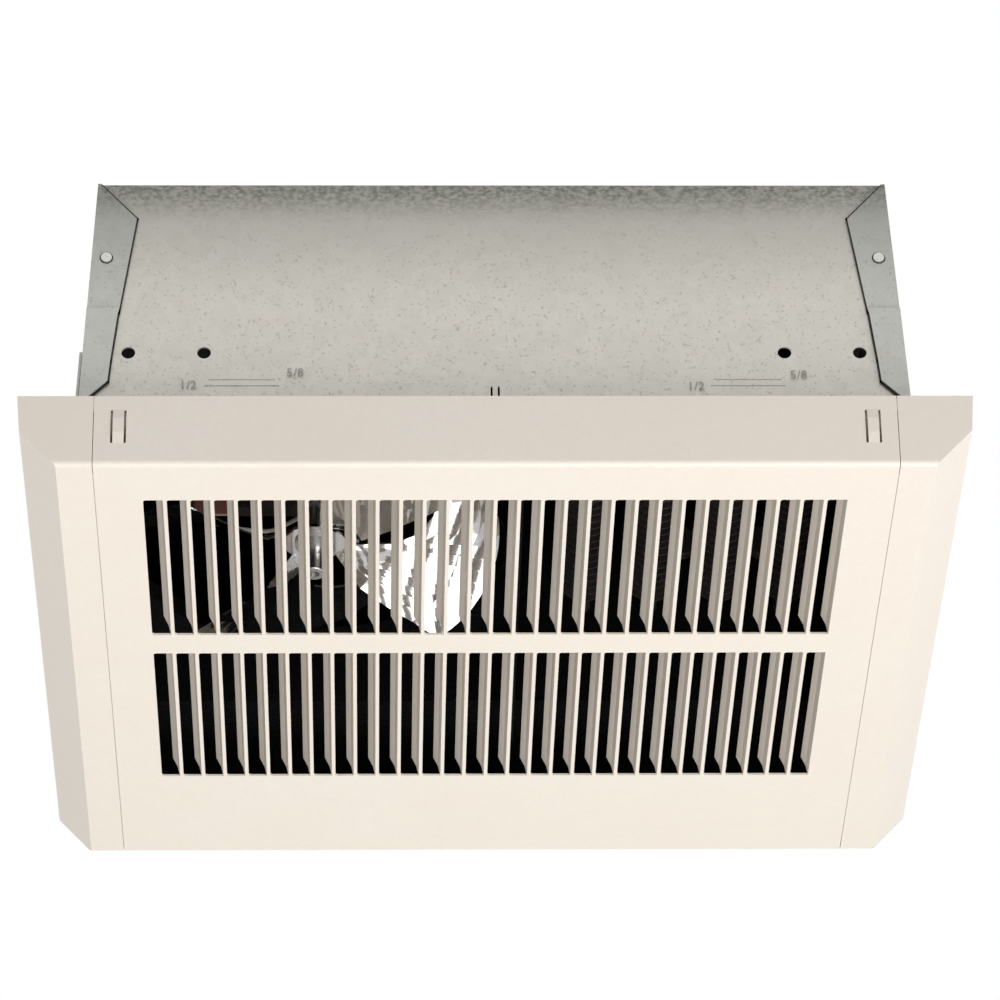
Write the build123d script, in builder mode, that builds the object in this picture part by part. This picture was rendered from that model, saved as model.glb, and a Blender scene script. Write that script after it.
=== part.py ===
from build123d import *
import os
from math import cos, pi, radians, sin, tan

os.makedirs("parts", exist_ok=True)

# Frame: millimetres, +Z up into the ceiling, +X to the right as seen from the near side, near side at -Y.
# The origin is the centre of the ceiling opening, in the plane of the finished ceiling.

# Sheets and clearances
BOX_SHEET = 0.9
TRIM_SHEET = 1.0
DECK_SHEET = 0.9
SCREW_CLEARANCE = 0.15
SEAT_GAP = 0.1
RUNNING_FIT = 0.03
SEAM_GAP = 0.3

# Back box, a little narrower at the top than at the opening
BOX_OPEN_WIDTH = 362.0
BOX_TOP_WIDTH = 350.0
BOX_DEPTH = 332.0
BOX_HEIGHT = 119.5
BOX_BEND = 1.6
TOP_FLANGE = 10.0

# Mounting holes in the near and far walls
MOUNT_HOLE_RADIUS = 3.0
MOUNT_HOLE_INSET = 21.2
MOUNT_HOLE_SPACING = 33.0
MOUNT_HOLE_Z = 30.0

# Ceiling thickness lines pressed into the near and far walls
GAUGE_Z = (12.7, 15.9)
GAUGE_START_X = 94.0
GAUGE_LENGTH = 32.5
GAUGE_UPPER_LENGTH = 29.0
GAUGE_WIDTH = 0.8
GAUGE_DEPTH = 0.35

# Raised centre tab of the near and far walls
CENTRE_TAB_Z = 6.5
CENTRE_TAB_HEIGHT = 6.0
CENTRE_TAB_WIDTH = 2.2
CENTRE_TAB_SLIT = 0.9
CENTRE_TAB_BOW = 0.7

# Corner tabs of the end panels, folded over the near and far walls
TAB_MITRE_X = 17.5
TAB_MITRE_Z = 19.5
TAB_WAIST_X = 14.0
TAB_STEP_Z = 50.5
TAB_STEP_HEIGHT = 1.6
TAB_STEP_OUT = 1.3
TAB_STAND = 0.3
TAB_LOWER_X = 11.8
TAB_BOW = 1.0
TAB_FOOT_Z = 14.3
TAB_FOOT_CUT = 12.0
CLINCH_INSET = 6.6
CLINCH_Z = 79.0
CLINCH_RADIUS = 2.4
CLINCH_SHANK = 1.5
CLINCH_PROUD = 0.8

# Wire entry knockouts of the end panels
KNOCKOUT_RADIUS = 11.1
KNOCKOUT_GROOVE = 0.5
KNOCKOUT_WEB = 1.6
KNOCKOUT_Z = 60.0
KNOCKOUT_Y = (112.0, 145.0)

# Spacer strap on the left end panel
SPACER_NEAR_Y = -158.0
SPACER_LENGTH = 42.0
SPACER_TOP_Z = 35.5
SPACER_BOTTOM_Z = 1.0
SPACER_PROUD = 2.3
SPACER_SHEET = 1.1
SPACER_HOLE_RADIUS = 2.6
SPACER_HOLE_Z = 22.0

# Ceiling trim
TRIM_DROP = 35.0
TRIM_MARGIN_Y = 12.0
TRIM_BEND = 2.4
CAP_SEAM_INSET = 7.6
BEVEL_START_OUT = 8.2
BEVEL_END_OUT = 24.2
BEVEL_END_Z = -17.5
RIM_OUT = 25.5
LIP_WIDTH = 6.0
LIP_NOTCH = 18.0
TONGUE_WIDTH = 14.0
TONGUE_END_GAP = 9.0

# Louvres
SLOT_COUNT = 30
SLOT_PITCH = 10.235
SLOT_WIDTH = 8.6
SLOT_LENGTH = 116.7
ROW_BAR = 16.6
ROW_NEAR_INSET = 29.0
SLOT_CORNER = 1.4
VANE_ROOT_RISE = 4.0
VANE_ROOT_LEAN = 16.0
VANE_TIP_RISE = 3.6
VANE_TIP_LEAN = 32.0
VANE_BEND = 1.0
VANE_END_GAP = 0.25
VANE_NEAR_TAPER = 1.5
VANE_FAR_TAPER = 4.5

# Raised bridges in the near and far walls of the grille
BRIDGE_INSET = 18.4
BRIDGE_WIDTH = 4.8
BRIDGE_SLIT = 1.0
BRIDGE_TOP_Z = -6.8
BRIDGE_HEIGHT = 17.0
BRIDGE_BOW = 0.9
BRIDGE_RAMP = 5.0

# Grille spring clips
CLIP_SHEET = 0.8
CLIP_WIDTH = 11.0
CLIP_LEG_TOP = 22.0
CLIP_WALL_GAP = 0.4
CLIP_NOSE_ROUND = 0.6
CLIP_NOSE_Z = -12.0
CLIP_NOSE_RISE = 9.0
CLIP_TAIL = 6.0
CLIP_BEND = 2.0
SMALL_SCREW_RADIUS = 1.75
SMALL_HEAD_RADIUS = 3.4
SMALL_HEAD_HEIGHT = 1.8

# Fan deck, air divider and wiring compartment
FAN_X = -80.0
FAN_Y = -20.0
DECK_Z = 26.0
ORIFICE_RADIUS = 88.0
ORIFICE_LIP = 8.0
DIVIDER_X = 12.0
DIVIDER_BOTTOM = -22.0
DIVIDER_TOP = 46.0
DECK_FLANGE = 10.0
PARTITION_Y = 91.5
PARTITION_FLANGE = 10.0
PARTITION_FLANGE_LENGTH = 290.0
FLOOR_EDGE_GAP = 1.5

# Fan
FAN_RADIUS = 85.0
BLADE_COUNT = 4
BLADE_SHEET = 1.0
BLADE_LOW_ANGLE = 46.0
BLADE_SPAN = 76.0
BLADE_RISE = 37.0
BLADE_LOW_Z = 3.0
SPIDER_RADIUS = 13.0
SPIDER_SHEET = 1.6
BLADE_ROOT_OVERLAP = 1.5
BLADE_TWIST_RUN = 20.0
BLADE_ROOT_TWIST = 0.8
BLADE_ROOT_SHARE = 0.5
BLADE_SWEEP = 65.0
BLADE_SWEEP_CURVE = 0.3
BLADE_CORNER = 3.0
BLADE_CAMBER = 0.9
BLADE_STATIONS = 16
BLADE_POINTS = 5
HUB_RADIUS = 5.5
HUB_FLANGE_RADIUS = 9.0
HUB_FLANGE = 1.6
HUB_BOTTOM = 4.0
SET_SCREW_RADIUS = 1.6

# Motor
SHAFT_RADIUS = 2.4
SHAFT_RECESS = 1.5
CORE_BOTTOM = 52.0
CORE_STACK = 18.0
CORE_HALF_DEPTH = 28.0
CORE_RIGHT = 27.0
CORE_LEFT = 53.0
CORE_LEG = 12.0
CORE_WINDOW = 12.0
CORE_ARM = 8.0
ROTOR_RADIUS = 13.0
AIR_GAP = 0.5
ROTOR_END_GAP = 1.0
BOBBIN_WALL = 0.9
COIL_BUILD = 3.5
COIL_END_GAP = 1.0
BRACKET_WIDTH = 12.0
BRACKET_LENGTH = 52.0
BRACKET_THICK = 2.5
BRACKET_BOSS_RADIUS = 7.5
BRACKET_BOSS_HEIGHT = 6.5
BEARING_RADIUS = 5.0
BEARING_HEIGHT = 5.5
MOTOR_SCREW_SPREAD = 22.0
MOTOR_SCREW_RADIUS = 2.0
MOTOR_HEAD_RADIUS = 3.6
MOTOR_HEAD_HEIGHT = 2.6
GROMMET_RADIUS = 5.5
GROMMET_HEIGHT = 7.0
GROMMET_ROUND = 1.2
BRIDGE_STRAP_SHEET = 1.5
BRIDGE_STRAP_WIDTH = 30.0
BRIDGE_LEG_SPREAD = 95.0
BRIDGE_FOOT = 12.0
STRAP_SCREW_SPREAD = 9.0
SCREW_TIP = 3.0
SHADING_X = 10.0
SHADING_Y = 17.0
SHADING_BAR = 2.0

# Heating elements
ELEMENT_Z = 52.0
ELEMENT_FIRST_X = 47.0
ELEMENT_PITCH = 32.0
TUBE_RADIUS = 4.0
TUBE_STANDOUT = 6.0
FIN_RADIUS = 12.0
FIN_THICK = 0.6
FIN_PITCH = 6.0
FIN_NEAR_Y = -120.0
FIN_FAR_Y = 66.0
BEND_CENTRE_Y = -138.0
SUPPORT_Y = -130.0
SUPPORT_HEIGHT = 20.0
INSULATOR_RADIUS = 6.0
INSULATOR_LENGTH = 14.0
INSULATOR_CHAMFER = 1.0
TERMINAL_PIN_RADIUS = 1.6
TERMINAL_PIN_LENGTH = 12.0

# Controls in the wiring compartment
THERMOSTAT_Z = 86.0
CUTOUT_X = 95.0
DELAY_X = 135.0
THERMOSTAT_CAP_RADIUS = 8.0
THERMOSTAT_CAP_HEIGHT = 5.0
THERMOSTAT_BODY_RADIUS = 9.0
THERMOSTAT_BODY_HEIGHT = 10.0
THERMOSTAT_EAR = 30.0
THERMOSTAT_EAR_HEIGHT = 8.0
THERMOSTAT_EAR_SHEET = 0.8
THERMOSTAT_SCREW_SPREAD = 12.0
THERMOSTAT_ROUND = 1.0
SPADE_LENGTH = 9.0
SPADE_WIDTH = 6.3
SPADE_SHEET = 0.8
SPADE_SPREAD = 5.0
BLOCK_X = -115.0
BLOCK_Z = 40.0
BLOCK_WIDTH = 56.0
BLOCK_HEIGHT = 20.0
BLOCK_DEPTH = 12.0
BLOCK_POLES = 4
BLOCK_WAY = 9.0
BLOCK_WALL = 1.5
BLOCK_BARRIER = 5.0
GROUND_X = -150.0
GROUND_Y = 130.0
GROUND_RADIUS = 2.1
GROUND_HEAD = 4.2
BUSHING_X = -60.0
BUSHING_Z = 62.0
BUSHING_RADIUS = 7.0
BUSHING_FLANGE = 9.0
BUSHING_COLLAR = 2.5
LEAD_RADIUS = 1.0
LEAD_SPREAD = 2.5
LEAD_TAIL = 6.0

# Values that follow from the driving dimensions
box_half_open = BOX_OPEN_WIDTH / 2
box_half_top = BOX_TOP_WIDTH / 2
box_half_depth = BOX_DEPTH / 2
trim_depth = BOX_DEPTH + 2 * TRIM_MARGIN_Y
trim_half_depth = trim_depth / 2
mount_hole_x = box_half_open - MOUNT_HOLE_INSET
cap_seam_x = box_half_open - CAP_SEAM_INSET
bevel_start_x = box_half_open + BEVEL_START_OUT
bevel_end_x = box_half_open + BEVEL_END_OUT
rim_x = box_half_open + RIM_OUT
bridge_x = box_half_open - BRIDGE_INSET
row_near_start = -trim_half_depth + ROW_NEAR_INSET
row_far_start = row_near_start + SLOT_LENGTH + ROW_BAR
fan_axis = Axis((FAN_X, FAN_Y, 0), (0, 0, 1))
blade_mid_z = BLADE_LOW_Z + BLADE_RISE / 2
core_top = CORE_BOTTOM + CORE_STACK
bore_radius = ROTOR_RADIUS + AIR_GAP
blade_root_z = blade_mid_z - BLADE_SHEET / 2
hub_top = blade_mid_z - SPIDER_SHEET / 2
shaft_bottom = HUB_BOTTOM + SHAFT_RECESS
leg_centre_x = FAN_X - CORE_LEFT + CORE_LEG / 2
leg_half_length = CORE_HALF_DEPTH - CORE_ARM
element_runs = [ELEMENT_FIRST_X + ELEMENT_PITCH * i for i in range(4)]
bridge_under = core_top + BRACKET_THICK + GROMMET_HEIGHT


root_lean = radians(VANE_ROOT_LEAN)
tip_lean = radians(VANE_TIP_LEAN)
mean_lean = (root_lean + tip_lean) / 2
vane_knee = (VANE_ROOT_RISE * tan(root_lean), VANE_ROOT_RISE)
vane_tip = (vane_knee[0] + VANE_TIP_RISE * tan(tip_lean), VANE_ROOT_RISE + VANE_TIP_RISE)
vane_tip_back = (vane_tip[0] - TRIM_SHEET * cos(tip_lean), vane_tip[1] + TRIM_SHEET * sin(tip_lean))
vane_knee_back = (vane_knee[0] - TRIM_SHEET * cos(mean_lean), vane_knee[1] + TRIM_SHEET * sin(mean_lean))
vane_root_back = TRIM_SHEET * tan(pi / 4 - root_lean / 2)


def box_half(z):
    """Half the outer width of the back box at height z."""
    return box_half_open - (box_half_open - box_half_top) * z / BOX_HEIGHT


def inner_half(z):
    """Half the clear width inside the back box at height z."""
    return box_half(z) - BOX_SHEET


def at_side(points, side):
    """Mirror a list of points in X for the left side."""
    return [(side * x, y) for x, y in points]


# Back box: one sheet bent over the top, with its near and far walls
with BuildPart() as housing_wrap:
    with BuildSketch(Plane.YZ):
        Rectangle(BOX_DEPTH, BOX_HEIGHT, align=(Align.CENTER, Align.MIN))
        Rectangle(
            BOX_DEPTH - 2 * BOX_SHEET,
            BOX_HEIGHT - BOX_SHEET,
            align=(Align.CENTER, Align.MIN),
            mode=Mode.SUBTRACT,
        )
    extrude(amount=box_half_open, both=True)
    bends = housing_wrap.edges().filter_by(Axis.X).group_by(Axis.Z)[-1]
    fillet(bends, BOX_BEND)
    with BuildSketch(Plane.XZ):
        with BuildLine():
            Polyline(
                (-inner_half(0), 0),
                (inner_half(0), 0),
                (inner_half(BOX_HEIGHT), BOX_HEIGHT),
                (-inner_half(BOX_HEIGHT), BOX_HEIGHT),
                close=True,
            )
        make_face()
    extrude(amount=BOX_DEPTH, both=True, mode=Mode.INTERSECT)
    # fixing holes, button holes and the slits of the centre tab go through both walls
    with BuildSketch(Plane.XZ):
        for side in (-1, 1):
            with Locations(
                (side * (mount_hole_x - MOUNT_HOLE_SPACING), MOUNT_HOLE_Z),
                (side * mount_hole_x, MOUNT_HOLE_Z),
            ):
                Circle(MOUNT_HOLE_RADIUS)
            with Locations((side * (box_half(CLINCH_Z) - CLINCH_INSET), CLINCH_Z)):
                Circle(CLINCH_SHANK + SCREW_CLEARANCE)
            with Locations((side * (CENTRE_TAB_WIDTH + CENTRE_TAB_SLIT) / 2, CENTRE_TAB_Z)):
                Rectangle(CENTRE_TAB_SLIT, CENTRE_TAB_HEIGHT, align=(Align.CENTER, Align.MIN))
    extrude(amount=BOX_DEPTH, both=True, mode=Mode.SUBTRACT)
    with BuildSketch(Plane.XY.offset(BOX_HEIGHT - BOX_SHEET)):
        with Locations((GROUND_X, GROUND_Y)):
            Circle(GROUND_RADIUS)
    extrude(amount=BOX_SHEET, mode=Mode.SUBTRACT)
    # bowed centre tabs
    for wall in (-1, 1):
        face_y = wall * box_half_depth
        with BuildSketch(Plane.YZ):
            with BuildLine():
                Polyline(
                    (face_y, CENTRE_TAB_Z),
                    (face_y + wall * CENTRE_TAB_BOW, CENTRE_TAB_Z + CENTRE_TAB_HEIGHT / 2),
                    (face_y, CENTRE_TAB_Z + CENTRE_TAB_HEIGHT),
                    close=True,
                )
            make_face()
        extrude(amount=CENTRE_TAB_WIDTH / 2, both=True)
    # ceiling thickness lines pressed into both walls
    for wall in (-1, 1):
        plane = Plane.XZ.offset(-wall * (box_half_depth - GAUGE_DEPTH))
        with BuildSketch(plane):
            for side in (-1, 1):
                middle = side * (GAUGE_START_X + GAUGE_LENGTH / 2)
                with Locations((middle, GAUGE_Z[0])):
                    Rectangle(GAUGE_LENGTH, GAUGE_WIDTH)
                with Locations((middle, GAUGE_Z[1])):
                    Rectangle(GAUGE_UPPER_LENGTH, GAUGE_WIDTH)
        extrude(amount=-wall * BOX_SHEET, mode=Mode.SUBTRACT)
housing_wrap.part.label = "housing_wrap"
export_step(housing_wrap.part, "parts/housing_wrap.step")


tab_face = box_half_depth + TAB_STAND + BOX_SHEET


def end_panel(side):
    """One sloped end of the back box, with the corner tabs that fold over the walls."""
    with BuildPart() as panel:
        with BuildSketch(Plane.XZ):
            with BuildLine():
                Polyline(
                    at_side(
                        [
                            (inner_half(0), 0),
                            (box_half(0), 0),
                            (box_half(BOX_HEIGHT), BOX_HEIGHT),
                            (inner_half(BOX_HEIGHT), BOX_HEIGHT),
                        ],
                        side,
                    ),
                    close=True,
                )
            make_face()
        extrude(amount=tab_face, both=True)
        # flange under the top sheet
        top_z = BOX_HEIGHT - 2 * BOX_SHEET
        with BuildSketch(Plane.XY.offset(top_z)):
            with Locations((side * (inner_half(top_z) + BOX_SHEET / 2), 0)):
                Rectangle(
                    TOP_FLANGE,
                    BOX_DEPTH - 2 * BOX_BEND - 2 * BOX_SHEET,
                    align=(Align.MAX if side > 0 else Align.MIN, Align.CENTER),
                )
        extrude(amount=BOX_SHEET)
        waist_x = box_half(TAB_STEP_Z) - TAB_WAIST_X
        lower_x = box_half(TAB_FOOT_Z) - TAB_LOWER_X
        upper_tab = [
            (box_half(BOX_HEIGHT), BOX_HEIGHT),
            (box_half(BOX_HEIGHT) - TAB_MITRE_X, BOX_HEIGHT - TAB_MITRE_Z),
            (waist_x, TAB_STEP_Z),
            (box_half(TAB_STEP_Z), TAB_STEP_Z),
        ]
        lower_tab = [
            (waist_x, TAB_STEP_Z + TAB_STEP_HEIGHT),
            (lower_x - TAB_BOW, TAB_STEP_Z / 2),
            (lower_x, TAB_FOOT_Z),
            (lower_x + TAB_FOOT_CUT, TAB_FOOT_Z - TAB_FOOT_CUT),
            (box_half(0), 0),
            (box_half(TAB_STEP_Z), TAB_STEP_Z + TAB_STEP_HEIGHT),
        ]
        for wall in (-1, 1):
            with BuildSketch(Plane.XZ.offset(-wall * (box_half_depth + TAB_STAND))):
                with BuildLine():
                    Polyline(at_side(upper_tab, side), close=True)
                make_face()
            extrude(amount=-wall * BOX_SHEET)
        # the top corners follow the bend of the wrap
        with BuildSketch(Plane.YZ):
            Rectangle(2 * tab_face, BOX_HEIGHT, align=(Align.CENTER, Align.MIN))
            fillet(vertices().group_by(Axis.Y)[-1], BOX_BEND)
        extrude(amount=BOX_OPEN_WIDTH, both=True, mode=Mode.INTERSECT)
        for wall in (-1, 1):
            plane = Plane.XZ.offset(-wall * box_half_depth)
            # the lower tab stands clear of the wall by the step
            step_plane = Plane.XZ.offset(-wall * (box_half_depth + TAB_STEP_OUT))
            with BuildSketch(step_plane):
                with BuildLine():
                    Polyline(at_side(lower_tab, side), close=True)
                make_face()
            extrude(amount=-wall * BOX_SHEET)
            step = [
                (waist_x, TAB_STEP_Z),
                (waist_x, TAB_STEP_Z + TAB_STEP_HEIGHT),
                (box_half(TAB_STEP_Z), TAB_STEP_Z + TAB_STEP_HEIGHT),
                (box_half(TAB_STEP_Z), TAB_STEP_Z),
            ]
            with BuildSketch(plane):
                with BuildLine():
                    Polyline(at_side(step, side), close=True)
                make_face()
            extrude(amount=-wall * (TAB_STEP_OUT + BOX_SHEET))
            skirt = [
                (inner_half(0), 0),
                (box_half(0), 0),
                (box_half(TAB_STEP_Z), TAB_STEP_Z + TAB_STEP_HEIGHT),
                (inner_half(TAB_STEP_Z), TAB_STEP_Z + TAB_STEP_HEIGHT),
            ]
            with BuildSketch(plane):
                with BuildLine():
                    Polyline(at_side(skirt, side), close=True)
                make_face()
            extrude(amount=-wall * (TAB_STEP_OUT + BOX_SHEET))
        with BuildSketch(Plane.XZ):
            with Locations((side * (box_half(CLINCH_Z) - CLINCH_INSET), CLINCH_Z)):
                Circle(CLINCH_SHANK + SCREW_CLEARANCE)
        extrude(amount=BOX_DEPTH, both=True, mode=Mode.SUBTRACT)
        # pressed rings of the wire entry knockouts, each held by two webs
        with BuildSketch(Plane.YZ.offset(side * (inner_half(KNOCKOUT_Z) - TOP_FLANGE / 2))):
            for y in KNOCKOUT_Y:
                with Locations((y, KNOCKOUT_Z)):
                    Circle(KNOCKOUT_RADIUS)
                    Circle(KNOCKOUT_RADIUS - KNOCKOUT_GROOVE, mode=Mode.SUBTRACT)
                    Rectangle(KNOCKOUT_WEB, 2 * KNOCKOUT_RADIUS, mode=Mode.SUBTRACT)
        extrude(amount=side * 2 * TOP_FLANGE, mode=Mode.SUBTRACT)
    return panel


left_end_panel = end_panel(-1)
left_end_panel.part.label = "left_end_panel"
export_step(left_end_panel.part, "parts/left_end_panel.step")

right_end_panel = end_panel(1)
right_end_panel.part.label = "right_end_panel"
export_step(right_end_panel.part, "parts/right_end_panel.step")


# Clinched buttons that hold the corner tabs to the walls
with BuildPart() as clinch_buttons:
    for side in (-1, 1):
        for wall in (-1, 1):
            centre = (side * (box_half(CLINCH_Z) - CLINCH_INSET), CLINCH_Z)
            outer = Plane.XZ.offset(-wall * tab_face)
            with BuildSketch(outer):
                with Locations(centre):
                    Circle(CLINCH_RADIUS)
            extrude(amount=-wall * CLINCH_PROUD)
            with BuildSketch(outer):
                with Locations(centre):
                    Circle(CLINCH_SHANK)
            extrude(amount=wall * (tab_face - box_half_depth + BOX_SHEET))
            with BuildSketch(Plane.XZ.offset(-wall * (box_half_depth - BOX_SHEET))):
                with Locations(centre):
                    Circle(CLINCH_RADIUS)
            extrude(amount=wall * CLINCH_PROUD)
clinch_buttons.part.label = "clinch_buttons"
export_step(clinch_buttons.part, "parts/clinch_buttons.step")


# Spacer strap: a shallow channel on the outside of the left end panel
with BuildPart() as joist_spacer:
    outline = [
        (0, SPACER_TOP_Z),
        (SPACER_PROUD, SPACER_TOP_Z),
        (SPACER_PROUD, SPACER_BOTTOM_Z),
        (0, SPACER_BOTTOM_Z),
        (0, SPACER_BOTTOM_Z + SPACER_SHEET),
        (SPACER_PROUD - SPACER_SHEET, SPACER_BOTTOM_Z + SPACER_SHEET),
        (SPACER_PROUD - SPACER_SHEET, SPACER_TOP_Z - SPACER_SHEET),
        (0, SPACER_TOP_Z - SPACER_SHEET),
    ]
    with BuildSketch(Plane.XZ.offset(-SPACER_NEAR_Y)):
        with BuildLine():
            Polyline([(-box_half(z) - proud, z) for proud, z in outline], close=True)
        make_face()
    extrude(amount=-SPACER_LENGTH)
    with BuildSketch(Plane.YZ.offset(-box_half_open)):
        with Locations((SPACER_NEAR_Y + SPACER_LENGTH / 2, SPACER_HOLE_Z)):
            Circle(SPACER_HOLE_RADIUS)
    extrude(amount=-2 * SPACER_PROUD, both=True, mode=Mode.SUBTRACT)
joist_spacer.part.label = "joist_spacer"
export_step(joist_spacer.part, "parts/joist_spacer.step")


# Grille panel: bottom, near wall and far wall bent from one sheet
with BuildPart() as grille_panel:
    with BuildSketch(Plane.YZ):
        Rectangle(trim_depth, TRIM_DROP, align=(Align.CENTER, Align.MAX))
        fillet(vertices().group_by(Axis.Y)[0], TRIM_BEND)
    extrude(amount=cap_seam_x - SEAM_GAP / 2, both=True)
    with BuildSketch(Plane.YZ):
        with Locations((0, TRIM_SHEET)):
            Rectangle(trim_depth - 2 * TRIM_SHEET, TRIM_DROP, align=(Align.CENTER, Align.MAX))
        fillet(vertices().group_by(Axis.Y)[0], TRIM_BEND - TRIM_SHEET)
    extrude(amount=cap_seam_x, both=True, mode=Mode.SUBTRACT)
    # return lips that bear on the ceiling, notched where the clips reach down
    lip_length = 2 * (bridge_x - LIP_NOTCH / 2)
    with BuildSketch(Plane.XY):
        for wall in (-1, 1):
            with Locations((0, wall * (trim_half_depth - TRIM_SHEET / 2 - LIP_WIDTH / 2))):
                Rectangle(lip_length, LIP_WIDTH + TRIM_SHEET)
    extrude(amount=-TRIM_SHEET)
    # louvre slots, opened up to where each vane starts to bend
    with BuildSketch(Plane.XY.offset(-TRIM_DROP)):
        for start in (row_near_start, row_far_start):
            with Locations((0, start + SLOT_LENGTH / 2)):
                with GridLocations(SLOT_PITCH, 1, SLOT_COUNT, 1):
                    with Locations((VANE_BEND / 2, 0)):
                        RectangleRounded(SLOT_WIDTH + VANE_BEND, SLOT_LENGTH, SLOT_CORNER)
    extrude(amount=TRIM_SHEET, mode=Mode.SUBTRACT)
    # windows of the raised bridges
    with BuildSketch(Plane.XZ):
        with Locations((-bridge_x, BRIDGE_TOP_Z), (bridge_x, BRIDGE_TOP_Z)):
            Rectangle(
                BRIDGE_WIDTH + 2 * BRIDGE_SLIT,
                BRIDGE_HEIGHT,
                align=(Align.CENTER, Align.MAX),
            )
    extrude(amount=trim_depth, both=True, mode=Mode.SUBTRACT)
    for wall in (-1, 1):
        out_y = wall * trim_half_depth
        bow_y = out_y + wall * BRIDGE_BOW
        sheet = wall * TRIM_SHEET
        low_z = BRIDGE_TOP_Z - BRIDGE_HEIGHT
        for side in (-1, 1):
            with BuildSketch(Plane.YZ.offset(side * bridge_x)):
                with BuildLine():
                    Polyline(
                        (out_y, low_z),
                        (bow_y, low_z + BRIDGE_RAMP),
                        (bow_y, BRIDGE_TOP_Z - BRIDGE_RAMP),
                        (out_y, BRIDGE_TOP_Z),
                        (out_y - sheet, BRIDGE_TOP_Z),
                        (bow_y - sheet, BRIDGE_TOP_Z - BRIDGE_RAMP),
                        (bow_y - sheet, low_z + BRIDGE_RAMP),
                        (out_y - sheet, low_z),
                        close=True,
                    )
                make_face()
            extrude(amount=BRIDGE_WIDTH / 2, both=True)
    # vanes: each is the sheet of its slot, bent up steeply at its right edge, then leaning left
    for start in (row_near_start, row_far_start):
        with BuildPart(mode=Mode.PRIVATE) as vane_row:
            with BuildSketch(Plane.XZ.offset(-start - VANE_END_GAP)):
                for column in range(SLOT_COUNT):
                    edge = (column - (SLOT_COUNT - 1) / 2) * SLOT_PITCH + SLOT_WIDTH / 2
                    under = [(edge + VANE_BEND, -TRIM_DROP), (edge, -TRIM_DROP)]
                    under += [(edge - out, -TRIM_DROP + up) for out, up in (vane_knee, vane_tip)]
                    over = [(edge - out, -TRIM_DROP + up) for out, up in (vane_tip_back, vane_knee_back)]
                    over += [(edge + vane_root_back, -TRIM_DROP + TRIM_SHEET)]
                    over += [(edge + VANE_BEND, -TRIM_DROP + TRIM_SHEET)]
                    with BuildLine():
                        Polyline(under + over, close=True)
                    make_face()
            extrude(amount=-(SLOT_LENGTH - 2 * VANE_END_GAP))
            top_z = -TRIM_DROP + vane_tip[1] + TRIM_SHEET
            with BuildSketch(Plane.YZ):
                with BuildLine():
                    Polyline(
                        (start, -TRIM_DROP + TRIM_SHEET),
                        (start + VANE_NEAR_TAPER, top_z),
                        (start, top_z),
                        close=True,
                    )
                make_face()
                with BuildLine():
                    Polyline(
                        (start + SLOT_LENGTH, -TRIM_DROP + TRIM_SHEET),
                        (start + SLOT_LENGTH - VANE_FAR_TAPER, top_z),
                        (start + SLOT_LENGTH, top_z),
                        close=True,
                    )
                make_face()
            extrude(amount=cap_seam_x, both=True, mode=Mode.SUBTRACT)
        add(vane_row.part)
grille_panel.part.label = "grille_panel"
export_step(grille_panel.part, "parts/grille_panel.step")


def trim_cap(side):
    """One end of the trim: flat strip, bevel and skirt, closed by near and far walls."""
    seam = cap_seam_x + SEAM_GAP / 2
    outer = [
        (seam, 0),
        (seam, -TRIM_DROP),
        (bevel_start_x, -TRIM_DROP),
        (bevel_end_x, BEVEL_END_Z),
        (rim_x, 0),
    ]
    inner = [
        (seam, 0),
        (seam, -TRIM_DROP + TRIM_SHEET),
        (bevel_start_x - TRIM_SHEET / 2, -TRIM_DROP + TRIM_SHEET),
        (bevel_end_x - TRIM_SHEET, BEVEL_END_Z + TRIM_SHEET / 2),
        (rim_x - TRIM_SHEET, 0),
    ]
    with BuildPart() as cap:
        with BuildSketch(Plane.XZ):
            with BuildLine():
                Polyline(at_side(outer, side), close=True)
            make_face()
        extrude(amount=trim_half_depth, both=True)
        near_far = cap.faces().filter_by(Axis.Y)
        rims = near_far.edges().group_by(Axis.Z)[0]
        fillet(rims, TRIM_BEND)
        with BuildSketch(Plane.XZ):
            with BuildLine():
                Polyline(at_side(inner, side), close=True)
            make_face()
        extrude(amount=trim_half_depth - TRIM_SHEET, both=True, mode=Mode.SUBTRACT)
        # return lip along the outer rim
        with BuildSketch(Plane.XY):
            with Locations((side * (rim_x - TRIM_SHEET / 2 - LIP_WIDTH / 2), 0)):
                Rectangle(LIP_WIDTH + TRIM_SHEET / 2, trim_depth - TRIM_SHEET)
        extrude(amount=-TRIM_SHEET)
        # tongue that lies on the inside of the grille panel
        with BuildSketch(Plane.XY.offset(-TRIM_DROP + TRIM_SHEET)):
            with Locations((side * (seam - TONGUE_WIDTH / 2 + TRIM_SHEET), 0)):
                Rectangle(
                    TONGUE_WIDTH + TRIM_SHEET,
                    trim_depth - 2 * TONGUE_END_GAP,
                )
        extrude(amount=TRIM_SHEET)
    return cap


left_trim_cap = trim_cap(-1)
left_trim_cap.part.label = "left_trim_cap"
export_step(left_trim_cap.part, "parts/left_trim_cap.step")

right_trim_cap = trim_cap(1)
right_trim_cap.part.label = "right_trim_cap"
export_step(right_trim_cap.part, "parts/right_trim_cap.step")


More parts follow.
